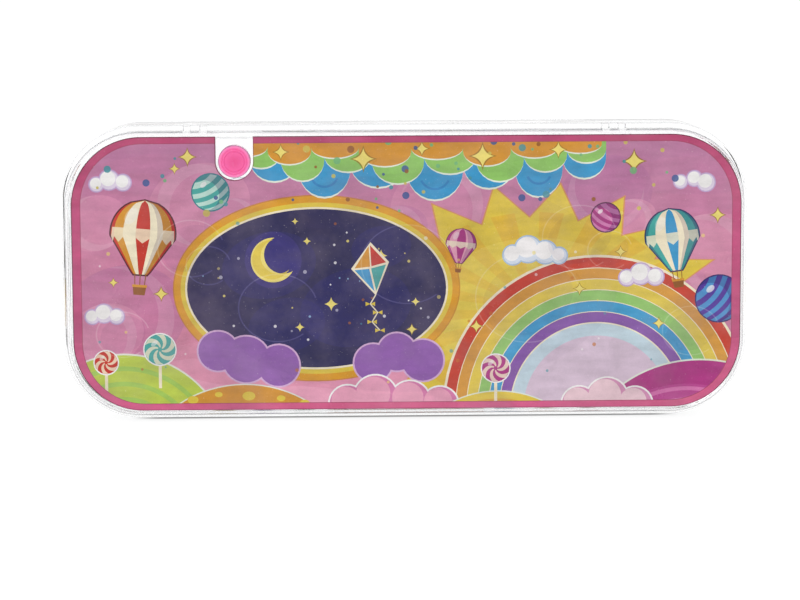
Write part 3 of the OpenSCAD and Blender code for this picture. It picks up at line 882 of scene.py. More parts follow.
def clear_plastic(name, tint, rough, ior, lamps, flow=1.0, scratch=1.0):
    """Clear moulded plastic: faint flow waves, hairline scratches and handling marks."""
    m = Mat(name)
    haze = m.noise(55.0, 4.0, 0.6)
    smear = m.noise(210.0, 5.0, 0.62, 0.4)
    hair_a = m.span(m.stretched((0.0, 0.5, 0.2), (2600.0, 2600.0, 46.0)), 0.665, 0.70)
    hair_b = m.span(m.stretched((0.2, -1.1, 0.0), (3400.0, 3400.0, 60.0)), 0.675, 0.71)
    hair_c = m.span(m.stretched((0.4, 1.45, 0.3), (2100.0, 2100.0, 38.0)), 0.68, 0.715)
    hairs = m.calc("MINIMUM", m.calc("ADD", m.calc("ADD", hair_a, hair_b), hair_c), 1.0)
    handled = m.calc("MULTIPLY", m.span(haze, 0.45, 0.72), m.span(smear, 0.4, 0.75))
    r = m.calc("MULTIPLY_ADD", handled, 0.07, rough)
    r = m.calc("MULTIPLY_ADD", hairs, 0.10 * scratch, r)
    waves = m.noise(38.0, 2.0, 0.4, 0.6)
    n = m.bump(waves, 0.00022 * flow, 0.5)
    n = m.bump(hairs, 0.000012 * scratch, 0.5, n)
    col = m.mix(m.span(smear, 0.3, 0.8), tint, tuple(x * 0.985 for x in tint))
    p = m.principled(Base_Color=col, Roughness=r, Normal=n, Transmission_Weight=1.0, IOR=ior)
    lets = m.add("ShaderNodeBsdfTransparent", {"Color": tuple(lamps) + (1.0,)})
    path = m.add("ShaderNodeLightPath")
    mixed = m.add("ShaderNodeMixShader")
    m.nt.links.new(path.outputs["Is Shadow Ray"], mixed.inputs[0])
    m.nt.links.new(p, mixed.inputs[1])
    m.nt.links.new(lets.outputs[0], mixed.inputs[2])
    return m.end(mixed.outputs[0])


def print_film(name, rough, haze, blotch, grain=0.06, wave=1.0):
    """Printed plastic film: ink with a fine grain, slightly hazy, with a soft gloss that isn't quite even."""
    m = Mat(name)
    ink = m.add("ShaderNodeVertexColor", layer_name="ink").outputs[0]
    fine = m.noise(5200.0, 2.0, 0.7)
    mid = m.noise(900.0, 3.0, 0.6)
    broad = m.noise(42.0, 4.0, 0.55, 0.3)
    cloud = m.noise(95.0, 4.0, 0.6)
    g = m.calc("MULTIPLY_ADD", m.calc("SUBTRACT", fine, 0.5), grain * 4.4, 1.0)
    g = m.calc("MULTIPLY_ADD", m.calc("SUBTRACT", mid, 0.5), grain * 2.2, g)
    # soft brushed shading in the picture
    brush = m.span(m.stretched((0.0, 0.6, 0.0), (120.0, 120.0, 520.0), 4.0), 0.3, 0.72, -0.09, 0.09)
    wash = m.span(m.noise(110.0, 3.0, 0.5, 0.8), 0.3, 0.7, -0.10, 0.08)
    g = m.calc("ADD", g, m.calc("ADD", brush, wash))
    col = m.mix(1.0, ink, m.add("ShaderNodeCombineColor", {0: g, 1: g, 2: g}).outputs[0], "MULTIPLY")
    col = m.mix(m.span(broad, 0.48, 0.74, 0.0, blotch), col, lin((104, 84, 104)))
    col = m.mix(m.span(cloud, 0.40, 0.78, haze * 0.2, haze), col, lin((226, 206, 212)))
    speck = m.span(m.noise(2600.0, 1.0, 0.5), 0.72, 0.78)
    col = m.mix(m.calc("MULTIPLY", speck, 0.22), col, lin((240, 232, 226)))
    smear = m.noise(160.0, 5.0, 0.6, 0.5)
    hair = m.span(m.stretched((0.1, 0.7, 0.0), (2400.0, 2400.0, 40.0)), 0.67, 0.71)
    r = m.calc("MULTIPLY_ADD", m.span(smear, 0.3, 0.75), 0.16, rough)
    r = m.calc("MULTIPLY_ADD", hair, 0.12, r)
    n = m.bump(m.noise(70.0, 2.0, 0.4), 0.00012 * wave, 0.35)
    n = m.bump(m.noise(2600.0, 2.0, 0.5), 0.000006, 0.5, n)
    n = m.bump(hair, 0.000006, 0.4, n)
    return m.end(m.principled(Base_Color=col, Roughness=r, Normal=n, Specular_IOR_Level=0.26, Coat_Weight=0.08,
                              Coat_Roughness=0.12))


def moulded(name, col, rough=0.24, deep=0.0, speckle=0.05, scratch=1.0, slick=0.35):
    """Gloss moulded plastic: flow streaks, a fine skin, scuffs and rubbed edges."""
    m = Mat(name)
    base = lin(col)
    dark = tuple(x * 0.80 for x in base)
    pale = tuple(min(1.0, x * 0.86 + 0.14) for x in base)
    streak = m.stretched((0.3, 0.2, 0.6), (160.0, 520.0, 240.0), 3.0)
    cloud = m.noise(240.0, 4.0, 0.6, 0.8)
    fine = m.noise(4200.0, 2.0, 0.6)
    c = m.mix(m.span(streak, 0.35, 0.7, 0.0, 0.34), base, dark)
    c = m.mix(m.span(cloud, 0.5, 0.78, 0.0, 0.26), c, pale)
    c = m.mix(m.span(fine, 0.62, 0.75, 0.0, speckle * 2), c, pale)
    rub = m.span(m.add("ShaderNodeNewGeometry").outputs["Pointiness"], 0.53, 0.64)
    patch = m.span(m.noise(700.0, 4.0, 0.65), 0.42, 0.62)
    c = m.mix(m.calc("MULTIPLY", m.calc("MULTIPLY", rub, patch), 0.4), c, pale)
    smear = m.noise(330.0, 5.0, 0.62, 0.5)
    hair = m.calc("MINIMUM", m.calc("ADD", m.span(m.stretched((0.2, 0.9, 0.4), (3000.0, 3000.0, 90.0)), 0.665, 0.70),
                                    m.span(m.stretched((1.3, -0.5, 0.1), (3600.0, 90.0, 3600.0)), 0.67, 0.705)), 1.0)
    r = m.calc("MULTIPLY_ADD", m.span(smear, 0.32, 0.72), 0.2, rough)
    r = m.calc("MULTIPLY_ADD", hair, 0.14 * scratch, r)
    n = m.bump(m.noise(3400.0, 3.0, 0.55), 0.000010, 0.5)
    n = m.bump(cloud, 0.00006, 0.4, n)
    n = m.bump(hair, 0.000012 * scratch, 0.6, n)
    return m.end(m.principled(Base_Color=c, Roughness=r, Normal=n, Subsurface_Weight=deep, Subsurface_Scale=0.0012,
                              Coat_Weight=slick, Coat_Roughness=0.10, IOR=1.5))


def plug_rubber():
    """Soft pink rubber with painted shading by distance from the plug's axis: painted shade in the grooves and at the
    rim's edge, painted highlights on the ridges and just inside the rim, with lint and pale specks.
    """
    m = Mat("plug_rubber")
    off = m.add("ShaderNodeVectorMath", {0: m.v, 1: (PLUG_X * MM, 0.0, PLUG_Z * MM)}, operation="SUBTRACT").outputs[0]
    flat = m.add("ShaderNodeVectorMath", {0: off, 1: (1.0, 0.0, 1.0)}, operation="MULTIPLY").outputs[0]
    dist = m.add("ShaderNodeVectorMath", {0: flat}, operation="LENGTH").outputs["Value"]
    cloud = m.noise(700.0, 4.0, 0.6, 0.4)
    fine = m.noise(5200.0, 3.0, 0.6)
    r = m.calc("MULTIPLY_ADD", m.calc("SUBTRACT", cloud, 0.5), 0.0004, dist)
    # painted light and shade: darker pink in the grooves and a dark mauve edge at the rim, paler pink on the ridges and
    # just inside the rim
    painted_shading_ramp = m.add("ShaderNodeValToRGB", {0: m.span(r, 0.0, 0.004)})
    e = painted_shading_ramp.color_ramp.elements
    painted_shading_stops = ((0.0, (236, 88, 150)), (0.26, (240, 94, 156)), (0.52, (248, 104, 168)), (0.575, (240, 92, 156)),
             (0.60, (242, 94, 160)), (0.64, (252, 112, 176)), (0.70, (250, 106, 170)), (0.73, (244, 98, 162)),
             (0.78, (254, 122, 184)), (0.875, (254, 148, 200)), (0.905, (206, 122, 168)), (1.0, (160, 96, 136)))
    for i, (t, c) in enumerate(painted_shading_stops):
        s = e[i] if i < 2 else e.new(t)
        s.position, s.color = t, tuple(x * 0.96 for x in lin(c)) + (1.0,)
    base = painted_shading_ramp.outputs[0]
    c = m.mix(m.span(cloud, 0.35, 0.72, 0.0, 0.20), base, lin((222, 70, 132)))
    c = m.mix(m.span(fine, 0.58, 0.76, 0.0, 0.16), c, lin((252, 176, 210)))
    lint = m.span(m.stretched((0.5, 0.9, 0.2), (2200.0, 2200.0, 260.0)), 0.70, 0.73)
    c = m.mix(m.calc("MULTIPLY", lint, 0.2), c, lin((250, 210, 226)))
    rough = m.calc("MULTIPLY_ADD", m.span(cloud, 0.3, 0.7), 0.14, 0.46)
    n = m.bump(fine, 0.000014, 0.6)
    n = m.bump(m.noise(900.0, 3.0, 0.5), 0.00003, 0.4, n)
    return m.end(m.principled(Base_Color=c, Roughness=rough, Normal=n, Subsurface_Weight=0.12, Subsurface_Scale=0.0008,
                              Specular_IOR_Level=0.35, IOR=1.43))


def silicone(name, col, rough=0.48, deep=0.35, dust=0.5, through=0.0):
    """Soft moulded rubber: satin skin, faint dust and a mottled body colour."""
    m = Mat(name)
    base = lin(col)
    dark = tuple(x * 0.84 for x in base)
    pale = tuple(min(1.0, x * 0.8 + 0.2) for x in base)
    cloud = m.noise(420.0, 4.0, 0.6, 0.4)
    fine = m.noise(5200.0, 3.0, 0.6)
    c = m.mix(m.span(cloud, 0.35, 0.72, 0.0, 0.4), base, dark)
    c = m.mix(m.span(fine, 0.6, 0.74, 0.0, 0.10 * dust * 2), c, pale)
    lint = m.span(m.stretched((0.5, 0.9, 0.2), (2200.0, 2200.0, 260.0)), 0.70, 0.73)
    c = m.mix(m.calc("MULTIPLY", lint, 0.35 * dust), c, pale)
    r = m.calc("MULTIPLY_ADD", m.span(cloud, 0.3, 0.7), 0.14, rough)
    n = m.bump(fine, 0.000014, 0.6)
    n = m.bump(m.noise(900.0, 3.0, 0.5), 0.00003, 0.4, n)
    return m.end(m.principled(Base_Color=c, Roughness=r, Normal=n, Subsurface_Weight=deep, Subsurface_Scale=0.0015,
                              Transmission_Weight=through, Sheen_Weight=0.15, Sheen_Roughness=0.5, IOR=1.43))


M_CLEAR = clear_plastic("clear_case", (0.990, 0.992, 0.995), 0.015, 1.57, (0.95, 0.955, 0.96))
M_INNER = clear_plastic("clear_inner", (0.965, 0.975, 0.985), 0.10, 1.52, (0.88, 0.90, 0.92), 1.4, 0.5)
M_REAR = print_film("rear_print", 0.26, 0.10, 0.22)
M_SCENE = print_film("scene_print", 0.34, 0.05, 0.10)
M_FRONT = print_film("front_print", 0.24, 0.05, 0.10)
M_PLUG = plug_rubber()
M_BUTTON = moulded("button_plastic", (244, 66, 134), 0.22, 0.08)
M_COLLAR = moulded("collar_plastic", (250, 204, 58), 0.24, 0.06)
M_BELLOWS = silicone("bellows_rubber", (236, 232, 222), 0.42, 0.4, 0.7)
M_CLAMP = moulded("clamp_plastic", (240, 239, 234), 0.38, 0.05, 0.04, 0.6, 0.1)
M_STAND = moulded("stand_plastic", (246, 150, 52), 0.26, 0.06)
M_RINGS = {k: moulded("plastic_" + k, c, 0.22, 0.06) for k, c in (
    ("pink", (246, 84, 150)), ("yellow", (250, 208, 40)), ("green", (92, 188, 78)), ("blue", (52, 138, 224)),
    ("red", (226, 52, 44)), ("violet", (140, 88, 200)))}


# ---------------------------------------------------------------- the two clear shells
def quarter(n, inset, y_from, y_to):
    """Insets and depths of a quarter round from a side wall to a face."""
    return [(inset * (1 - math.cos(math.pi / 2 * i / n)), y_from + (y_to - y_from) * math.sin(math.pi / 2 * i / n))
            for i in range(n + 1)]


def build_front_shell():
    s = Shape()
    W, H, R = CASE_W, CASE_H, CASE_R
    y_in = Y_FRONT + FRONT_WALL

    def lp(inset, y, r_min=0.4):
        return rect_loop(W - 2 * inset, H - 2 * inset, max(R - inset, r_min), y)
    # outside, from the rear rim forward to the front face
    y_rim = Y_SPLIT - 0.03
    outer = [lp(i, y) for i, y in quarter(7, RIM_ROUND, y_rim - RIM_ROUND, y_rim)][::-1] + [lp(0.0, 2.0), lp(0.0, -1.5)]
    outer += [lp(i, y) for i, y in quarter(10, FRONT_EDGE, Y_FRONT + FRONT_EDGE, Y_FRONT)]
    rows_out = s.skin(outer)
    # bead round the window
    bw, bh, br = WINDOW_W, WINDOW_H, WINDOW_R
    bz = ZC - WINDOW_DROP

    def bead(inset, y):
        return rect_loop(bw - 2 * inset, bh - 2 * inset, br - inset, y, 0.0, bz)
    bead_prof = profile([(0.0, Y_FRONT), (0.12, Y_FRONT - 0.5, 0.22), (1.18, Y_FRONT - 0.5, 0.22), (1.3, Y_FRONT)], seg=4)
    rows_bead = s.skin([bead(i, y) for i, y in bead_prof])
    # button holes
    holes_front, holes_back = [], []
    for sx in (-1, 1):
        rows = s.skin([circle_loop(sx * BUTTON_X, BUTTON_Z, r, y) for r, y in
                       ((HOLE_R + 0.12, Y_FRONT), (HOLE_R, Y_FRONT + 0.12), (HOLE_R, y_in - 0.15), (HOLE_R + 0.15, y_in))])
        holes_front.append(rows[0])
        holes_back.append(rows[-1])
    s.fill(rows_out[-1], rows_bead[0], *holes_front)
    s.fill(rows_bead[-1])
    # inside: front face, rounded into the side walls
    rin = FRONT_IN
    wall = FRONT_WALL
    inner = [(wall + i, y) for i, y in quarter(7, rin, y_in + rin, y_in)][::-1]
    inner += [(wall, -1.0), (wall, 1.0), (wall, y_rim - 0.2), (wall - 0.15, y_rim)]
    rows_in = s.skin([lp(i, y) for i, y in inner])
    s.fill(rows_in[0], *holes_back)
    s.bridge(rows_in[-1], rows_out[0])
    return s.done("front_shell_clear", M_CLEAR, 20)


def build_rear_shell():
    s = Shape()
    W, H, R = REAR_W, REAR_H, REAR_R

    def lp(inset, y, r_min=0.4):
        return rect_loop(W - 2 * inset, H - 2 * inset, max(R - inset, r_min), y)
    skin = [(REAR_EDGE * (1 - math.sin(math.pi / 2 * i / 6)), Y_BACK - REAR_EDGE * (1 - math.cos(math.pi / 2 * i / 6)))
            for i in range(7)]
    # outside: back face edge, side, step, lip
    skin += [(0.0, 6.6), (0.0, Y_SPLIT + 0.25), (0.08, Y_SPLIT + 0.06), (0.25, Y_SPLIT)]
    skin += [(0.6, Y_SPLIT), (0.6, Y_SPLIT - 0.15), (0.6, 2.6), (0.6, 1.25), (0.85, 1.0)]
    # inside: lip end, side wall, rounded into the back wall
    skin += [(1.3, 1.0), (1.5, 1.2), (1.5, 3.0), (1.5, 5.0)]
    skin += [(1.5 + i, y) for i, y in quarter(5, 0.6, 6.3, 6.9)]
    rows = s.skin([lp(i, y) for i, y in skin])
    neck = [(PORT_R + 0.18, Y_BACK), (PORT_R, Y_BACK - 0.18), (PORT_R, 6.6), (PORT_R, NECK_Y + 0.05), (PORT_R + 0.05, NECK_Y),
            (NECK_R - 0.17, NECK_Y), (NECK_R - 0.13, NECK_Y + 0.04), (NECK_R - 0.1, 5.8), (NECK_R - 0.06, 6.86), (NECK_R - 0.02, 6.9)]
    bore = s.skin([circle_loop(PLUG_X, PLUG_Z, r, y) for r, y in neck])
    s.fill(rows[0], bore[0])
    s.fill(rows[-1], bore[-1])
    o = s.done("rear_shell_clear", M_CLEAR, 34, weighted=False)
    # ears on the top edge
    top = ZC + H / 2
    for k, x in enumerate((-50.25, -46.45, 46.45, 50.25)):
        e = Shape()
        side = profile([(4.55, top - 0.8), (4.55, CASE_H - 0.05, 0.12), (8.49, CASE_H - 0.05, 0.12),
                        (8.49, top - 0.8)], seg=6)
        rows = []
        for dx, grow in ((-0.875, -0.12), (-0.755, 0.0), (0.755, 0.0), (0.875, -0.12)):
            cy = sum(p[0] for p in side) / len(side)
            cz = sum(p[1] for p in side) / len(side)
            rows.append(e.loop([(x + dx, p[0] + (grow if p[0] > cy else -grow), p[1] + (grow if p[1] > cz else 0.0))
                                for p in side]))
        for a, b in zip(rows, rows[1:]):
            e.bridge(a, b)
        e.fill(rows[0])
        e.fill(rows[-1])
        ear = e.done("ear_%d" % k, M_CLEAR, 18, weighted=False)
        b = o.modifiers.new("ear", "BOOLEAN")
        b.operation = "UNION"
        b.solver = "EXACT"
        b.object = ear
        dg = bpy.context.evaluated_depsgraph_get()
        me = bpy.data.meshes.new_from_object(o.evaluated_get(dg))
        o.modifiers.clear()
        o.data = me
        bpy.data.objects.remove(ear)
    me = o.data
    me.polygons.foreach_set("use_smooth", [True] * len(me.polygons))
    me.set_sharp_from_angle(angle=math.radians(18))
    w = o.modifiers.new("even_normals", "WEIGHTED_NORMAL")
    w.keep_sharp = True
    return o


finish_piece(build_front_shell(), "case", "clear_case", "front_shell")
finish_piece(build_rear_shell(), "case", "clear_case", "rear_shell")


# ---------------------------------------------------------------- the three printed films
def film_piece(name, art, mat, w, h, r, cx, y_print, y_other, mirrored, holes, edge_col, back_col):
    vs, fs, cs = partition(art, rounded_rect(w, h, r, 24), holes)
    bm = bmesh.new()
    sx = -1 if mirrored else 1
    verts = [bm.verts.new((cx + sx * v.x, y_print, ZC + v.y)) for v in vs]
    ink = bm.loops.layers.float_color.new("ink")
    uv = bm.loops.layers.uv.new("OFBake")

    def paint(f, col):
        # the ink, less what the gloss of the film adds
        c = tuple(max(0.0025, (x * 0.93 - 0.036) / 1.05) for x in lin(col)) + (1.0,)
        for lo in f.loops:
            lo[ink] = c

    def place(f, v0, v1):
        for lo in f.loops:
            p = lo.vert.co
            u = sx * (p.x - cx) / w + 0.5
            lo[uv].uv = (u, v0 + (v1 - v0) * ((p.z - ZC) / h + 0.5))
    for f, c in zip(fs, cs):
        face = bm.faces.new([verts[i] for i in f])
        paint(face, c)
        place(face, 0.07, 0.998)
    loose = [v for v in bm.verts if not v.link_faces]
    bmesh.ops.delete(bm, geom=loose, context="VERTS")
    rim = [e for e in bm.edges if len(e.link_faces) == 1]
    grown = bmesh.ops.extrude_edge_only(bm, edges=rim)["geom"]
    moved = [g for g in grown if isinstance(g, bmesh.types.BMVert)]
    for v in moved:
        v.co.y = y_other
    for f in (g for g in grown if isinstance(g, bmesh.types.BMFace)):
        paint(f, edge_col)
        place(f, 0.058, 0.064)
    edges = [g for g in grown if isinstance(g, bmesh.types.BMEdge) and all(abs(v.co.y - y_other) < 1e-6 for v in g.verts)]
    back = bmesh.ops.triangle_fill(bm, use_beauty=False, use_dissolve=False, edges=edges)["geom"]
    for f in (g for g in back if isinstance(g, bmesh.types.BMFace)):
        paint(f, back_col)
        place(f, 0.002, 0.052)
    bmesh.ops.recalc_face_normals(bm, faces=bm.faces[:])
    bmesh.ops.scale(bm, vec=(MM, MM, MM), verts=bm.verts[:])
    me = bpy.data.meshes.new(name)
    bm.to_mesh(me)
    bm.free()
    me.materials.append(mat)
    o = bpy.data.objects.new(name, me)
    scene.collection.objects.link(o)
    return o


def notch_hole(u, r):
    """U-shaped notch round the plug, open to the top edge."""
    v = PLUG_Z - ZC
    pts = [(u - r * math.cos(math.pi * i / 40), v - r * math.sin(math.pi * i / 40)) for i in range(41)]
    return [(u - r, 40.0)] + pts + [(u + r, 40.0)]


rear = film_piece("rear_label_print", rear_art(LABEL_W, LABEL_H, LABEL_R), M_REAR, LABEL_W, LABEL_H, LABEL_R, LABEL_X,
                  8.9, 8.73, True, [notch_hole(LABEL_X - PLUG_X, NOTCH_R)], (176, 92, 132), (226, 168, 194))
finish_piece(rear, "case", "rear_print", "rear_label")

back_scene = film_piece("scene_print", scene_art(LABEL_W - 0.6, LABEL_H - 0.6, LABEL_R - 0.3), M_SCENE, LABEL_W - 0.6,
                        LABEL_H - 0.6, LABEL_R - 0.3, LABEL_X, 8.53, 8.7, False, [notch_hole(PLUG_X - LABEL_X, NOTCH_R)], (214, 128, 166), (236, 232, 230))
finish_piece(back_scene, "case", "scene_print", "scene_film")

window = rounded_rect(WINDOW_W + 0.8, WINDOW_H + 0.8, WINDOW_R + 0.4, 20, 0.0, -WINDOW_DROP)
# the front print is open over the filler too
fill_gap = notch_hole(PLUG_X, FRONT_NOTCH_R)
button_holes = [ring_pts(s * BUTTON_X, BUTTON_Z - ZC, 10.8, n=72) for s in (-1, 1)]
front = film_piece("front_label_print", front_art(FL_W, FL_H, FL_R), M_FRONT, FL_W, FL_H, FL_R, 0.0, -8.7, -8.53, False,
                   [window, fill_gap] + button_holes, (236, 232, 230), (248, 247, 246))
finish_piece(front, "case", "front_print", "front_label")


# ---------------------------------------------------------------- the fill plug
def build_plug():
    s = Shape()
    # (radius, height above the back face): dished middle, a groove, the raised outer band that the material paints with
    # a highlight, and the stem
    head = [(0.0, 0.85), (0.9, 0.865), (1.7, 0.91), (2.14, 0.97, 0.1), (2.25, 0.93, 0.06), (2.35, 0.93, 0.06), (2.48, 1.03, 0.1),
            (2.74, 1.10, 0.1), (2.83, 1.06, 0.05), (2.92, 1.06, 0.05), (3.02, 1.17, 0.08), (3.28, 1.2, 0.2), (3.58, 1.06, 0.2),
            (3.73, 0.66, 0.15), (3.73, 0.24, 0.1), (3.62, 0.03, 0.08), (3.2, 0.02)]
    stem = [(3.25, -0.1, 0.08), (3.25, -0.5), (3.18, -0.58, 0.04), (3.18, -0.82, 0.04), (3.25, -0.9), (3.25, -1.4, 0.12),
            (2.9, -1.85, 0.12), (2.2, -1.85, 0.15), (2.0, -1.3, 0.25), (0.0, -1.2)]
    s.lathe(profile(head + stem, seg=4), lambda r, a, h: (PLUG_X + r * math.cos(a), Y_BACK + h, PLUG_Z + r * math.sin(a)), 96)
    return s.done("fill_plug_soft", M_PLUG, 50)


finish_piece(build_plug(), "plug", "plug_rubber", "fill_plug")


# ---------------------------------------------------------------- the pumps
def build_button(side):
    s = Shape()

    def crown(r):
        return -4.7 + math.sqrt(19.3 ** 2 - r * r)

    def dish(r):
        return 36.0 - math.sqrt(22.0 ** 2 - r * r)
    pts = [(r, dish(r)) for r in (0.0, 0.8, 1.6, 2.4, 3.0)]
    pts += [(3.5, dish(3.5) - 0.02, 0.3)]
    for g in (4.6, 5.7, 6.8):
        pts += [(g - 0.32, crown(g - 0.32), 0.06), (g - 0.16, crown(g) - 0.16, 0.06), (g + 0.16, crown(g) - 0.16, 0.06),
                (g + 0.32, crown(g + 0.32), 0.06)]
    pts += [(7.7, crown(7.7)), (8.55, crown(8.55), 0.55), (8.55, 6.6, 0.15), (9.9, 6.6, 0.2), (9.9, 5.6, 0.2),
            (7.35, 5.6, 0.2), (7.2, 12.1, 0.5), (3.1, 12.1, 0.4), (3.0, 5.6, 0.25), (0.0, 5.6)]
    s.lathe(profile(pts, seg=4), along_y(side * BUTTON_X, BUTTON_Z), 96)
    return s


def build_collar(side):
    s = Shape()
    pts = [(8.72, 10.2, 0.12), (9.2, 10.2), (9.3, 10.08, 0.03), (9.5, 10.08, 0.03), (9.6, 10.2), (10.1, 10.2, 0.15),
           (10.55, 9.7, 0.15), (10.6, 8.72, 0.1), (9.62, 8.52, 0.05), (9.55, 8.4), (9.55, 6.8, 0.15), (8.65, 6.8, 0.12)]
    s.lathe(profile(pts, True, 3), along_y(side * BUTTON_X, BUTTON_Z), 96, True)
    return s


def build_bellows(side):
    s = Shape()
    pts = [(0.0, 5.5), (2.0, 5.55), (6.55, 5.55, 0.35), (8.0, 4.4, 0.42), (6.6, 3.2, 0.42), (8.0, 2.0, 0.42),
           (6.6, 0.8, 0.42), (8.0, -0.3, 0.25), (7.5, -1.0, 0.08), (9.8, -1.0, 0.12), (9.8, -1.8, 0.12), (6.4, -1.8, 0.1),
           (6.4, -1.0, 0.15), (7.2, -0.3, 0.25), (5.8, 0.8, 0.4), (7.2, 2.0, 0.4), (5.8, 3.2, 0.4), (7.2, 4.4, 0.35),
           (6.2, 4.9, 0.2), (0.0, 4.9)]
    s.lathe(profile(pts, seg=5), along_y(side * BUTTON_X, BUTTON_Z), 96)
    return s


def build_clamp(side):
    s = Shape()
    pts = [(8.35, -0.95, 0.12), (8.35, 0.2, 0.25), (9.3, 0.2), (9.4, 0.05, 0.03), (9.7, 0.05, 0.03), (9.8, 0.2),
           (10.75, 0.2, 0.2), (10.75, -0.95, 0.12)]
    s.lathe(profile(pts, True, 3), along_y(side * BUTTON_X, BUTTON_Z), 96, True)
    return s


def build_cup(side):
    s = Shape()
    pts = [(1.75, -1.85, 0.1), (10.78, -1.85, 0.6), (10.78, 6.72, 0.1), (11.98, 6.72, 0.1), (11.98, -3.0, 0.8), (1.75, -3.0, 0.1)]
    s.lathe(profile(pts, True, 4), along_y(side * BUTTON_X, BUTTON_Z), 96, True)
    return s


for side, word in ((-1, "left"), (1, "right")):
    finish_piece(build_button(side).done(word + "_button_cap", M_BUTTON, 40), word + "_button", "button_plastic", word + "_button")
    finish_piece(build_collar(side).done(word + "_collar", M_COLLAR, 40), "case", "collar_plastic", word + "_button_collar")
    b = build_bellows(side).done(word + "_bellows_soft", M_BELLOWS, 60, weighted=False)
    finish_piece(b, "case", "bellows_rubber", word + "_bellows")
    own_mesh(b)
    finish_piece(build_clamp(side).done(word + "_clamp", M_CLAMP, 40), "case", "clamp_plastic", word + "_bellows_clamp")
    finish_piece(build_cup(side).done(word + "_cup", M_INNER, 40), "case", "clear_inner", word + "_pump_cup")


# ---------------------------------------------------------------- pegs and rings
def build_peg(x, base, top):
    s = Shape()
    pts = [(0.0, base - 1.5), (1.1, base - 1.5, 0.2), (1.1, base), (2.0, base + 0.02, 0.12), (1.95, base + 0.35, 0.12),
           (1.6, base + 0.98, 0.2), (1.1, base + 1.05, 0.15)]
    z0 = top - math.sqrt(1.7 ** 2 - 1.1 ** 2)
    pts += [(1.1, base + (z0 - base) * 0.5), (1.1, z0 - 0.25), (1.16, z0 - 0.02)]
    for i in range(1, 17):
        a = -math.acos(1.1 / 1.7) + (math.pi / 2 + math.acos(1.1 / 1.7)) * i / 16
        # a faint moulding line round the middle of the ball
        r = 1.7 + (0.0 if abs(a) > 0.09 else 0.03)
        pts.append((0.0 if i == 16 else r * math.cos(a), top + 1.7 * math.sin(a)))
    s.lathe(profile(pts, seg=3), along_z(x), 64)
    return s


def build_ring(x, z):
    s = Shape()
    major, minor, n, m = 3.9, 0.8, 96, 28
    rows = []
    for i in range(n):
        a = TAU * i / n
        gate = 0.05 * math.exp(-((a - 1.1) / 0.05) ** 2)
        row = []
        for j in range(m):
            b = TAU * j / m
            r = minor - 0.03
            if j == 0:
                r += 0.03 + gate
            elif j == m // 2:
                r += 0.03
            row.append(s.bm.verts.new((x + (major + r * math.cos(b)) * math.cos(a),
                                       (major + r * math.cos(b)) * math.sin(a), z + r * math.sin(b))))
        rows.append(row)
    for i in range(n):
        p, q = rows[i], rows[(i + 1) % n]
        for j in range(m):
            k = (j + 1) % m
            s.bm.faces.new((p[j], q[j], q[k], p[k]))
    return s


for word, x, base, top, colour in (("left", -SIDE_PEG_X, HILL_Z + SIDE_HILL_R, 24.5, "green"),
                                   ("centre", 0.0, HILL_Z + HILL_R, 34.0, "pink"),
                                   ("right", SIDE_PEG_X, HILL_Z + SIDE_HILL_R, 24.5, "blue")):
    finish_piece(build_peg(x, base, top).done(word + "_peg_pin", M_RINGS[colour], 40), "case", "plastic_" + colour, word + "_peg")

RINGS = ((-42.9, 3.6, "red"), (-33.2, 3.6, "yellow"), (-23.5, 3.6, "blue"), (23.5, 3.6, "green"), (33.2, 3.6, "violet"),
         (42.9, 3.6, "yellow"), (-12.0, 10.2, "yellow"), (0.0, 13.7, "blue"), (12.0, 10.2, "red"))
for i, (x, z, colour) in enumerate(RINGS, 1):
    finish_piece(build_ring(x, z).done("ring_%d_moulded" % i, M_RINGS[colour], 60, weighted=False), "ring_%d" % i,
                 "plastic_" + colour, "ring_%d" % i)

# ---------------------------------------------------------------- CAD nodes that keep their shape
for node, mat, width in (("peg_stand", M_STAND, 0.0005), ("left_jet_pipe", M_INNER, 0.0001), ("right_jet_pipe", M_INNER, 0.0001)):
    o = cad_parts[node]
    o.data.materials.clear()
    o.data.materials.append(mat)
    weld = o.modifiers.new("weld", "WELD")
    weld.merge_threshold = 0.000001
    bev = o.modifiers.new("bevel", "BEVEL")
    bev.width = width
    bev.segments = 3
    bev.limit_method = "ANGLE"
    bev.angle_limit = math.radians(50)
    bev.harden_normals = True


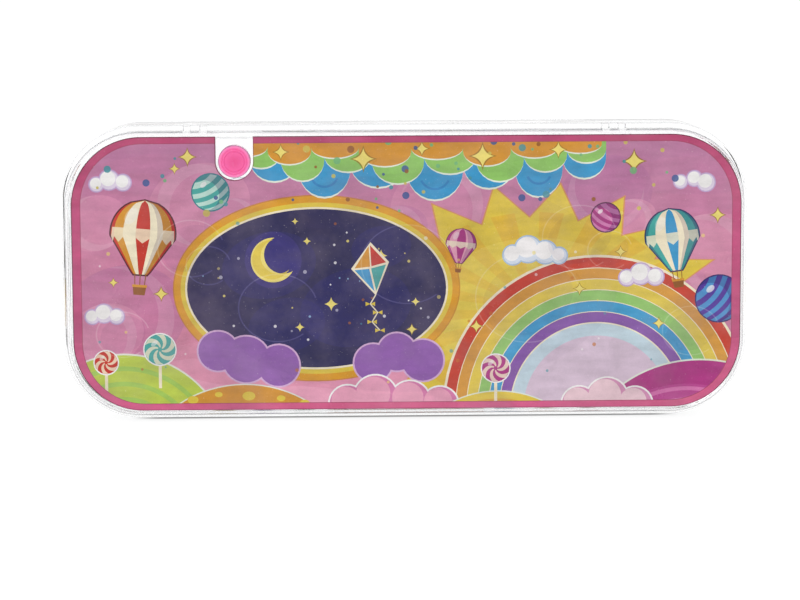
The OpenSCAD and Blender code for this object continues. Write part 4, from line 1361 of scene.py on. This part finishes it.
# ---------------------------------------------------------------- floor, surroundings and lights
def build_floor():
    bm = bmesh.new()
    n, rings = 96, (0.0, 0.15, 0.4, 0.9, 1.6, 2.6, 4.0)
    rows = []
    for r in rings:
        if r == 0.0:
            rows.append([bm.verts.new((0, 0, -0.0004))])
        else:
            lift = 0.0 if r <= 1.6 else 0.10 * (r - 1.6) ** 2
            rows.append([bm.verts.new((r * math.cos(TAU * i / n), r * math.sin(TAU * i / n), -0.0004 + lift)) for i in range(n)])
    for a, b in zip(rows, rows[1:]):
        for i in range(n):
            j = (i + 1) % n
            if len(a) == 1:
                bm.faces.new((a[0], b[i], b[j]))
            else:
                bm.faces.new((a[i], b[i], b[j], a[j]))
    me = bpy.data.meshes.new("floor")
    bm.to_mesh(me)
    bm.free()
    me.polygons.foreach_set("use_smooth", [True] * len(me.polygons))
    m = Mat("floor_paper")
    col = m.mix(m.span(m.noise(60.0, 3.0), 0.3, 0.7), (0.16, 0.16, 0.16), (0.15, 0.15, 0.15))
    n = m.bump(m.noise(900.0, 3.0), 0.00004, 0.3)
    # the paper's own even glow, with a painted contact shadow: the glow is less in a soft patch where the case stands
    # on it
    sep = m.add("ShaderNodeSeparateXYZ", {"Vector": m.v}).outputs
    painted_contact_shadow = m.calc("MULTIPLY", m.span(m.calc("ABSOLUTE", sep["X"]), 0.0652, 0.0575, smooth=True),
                   m.span(m.calc("ABSOLUTE", m.calc("ADD", sep["Y"], 0.0020)), 0.0068, 0.0044, smooth=True))
    glow_with_painted_shadow = m.calc("MULTIPLY_ADD", painted_contact_shadow, -0.72, 0.90)
    me.materials.append(m.end(m.principled(Base_Color=col, Roughness=0.8, Normal=n, Specular_IOR_Level=0.2,
                                           Emission_Color=(1.0, 1.0, 1.0), Emission_Strength=glow_with_painted_shadow)))
    o = bpy.data.objects.new("floor", me)
    scene.collection.objects.link(o)


build_floor()

world = bpy.data.worlds.new("studio")
scene.world = world
world.use_nodes = True
wt = world.node_tree
wt.nodes.clear()
wo = wt.nodes.new("ShaderNodeOutputWorld")
bg = wt.nodes.new("ShaderNodeBackground")
tc = wt.nodes.new("ShaderNodeTexCoord")
sep = wt.nodes.new("ShaderNodeSeparateXYZ")
rampn = wt.nodes.new("ShaderNodeValToRGB")
wt.links.new(tc.outputs["Generated"], sep.inputs[0])
wt.links.new(sep.outputs["Z"], rampn.inputs[0])
el = rampn.color_ramp.elements
el[0].position, el[0].color = 0.0, (1.0, 1.0, 1.0, 1)
el[1].position, el[1].color = 1.0, (0.90, 0.905, 0.92, 1)
e = el.new(0.30)
e.color = (1.0, 1.0, 1.0, 1)
e = el.new(0.55)
e.color = (0.97, 0.97, 0.975, 1)
wt.links.new(rampn.outputs[0], bg.inputs[0])
bg.inputs[1].default_value = 1.0
wt.links.new(bg.outputs[0], wo.inputs[0])


def area(name, place, aim, size, power, colour=(1.0, 1.0, 1.0)):
    d = bpy.data.lights.new(name, "AREA")
    d.shape = "RECTANGLE"
    d.size, d.size_y = size
    d.energy = power
    d.color = colour
    o = bpy.data.objects.new(name, d)
    o.location = place
    o.rotation_euler = (Vector(aim) - Vector(place)).to_track_quat("-Z", "Y").to_euler()
    scene.collection.objects.link(o)


area("key", (-0.9, 1.5, 1.3), (0, 0, 0.03), (1.0, 0.8), 1.2)
area("fill", (1.2, 1.2, 0.9), (0, 0, 0.03), (1.0, 0.8), 0.6)
area("front_key", (0.8, -1.5, 1.2), (0, 0, 0.03), (1.0, 0.8), 2.0)
area("top", (0.0, 0.0, 1.6), (0, 0, 0.0), (1.4, 0.7), 0.8)

bpy.context.view_layer.update()
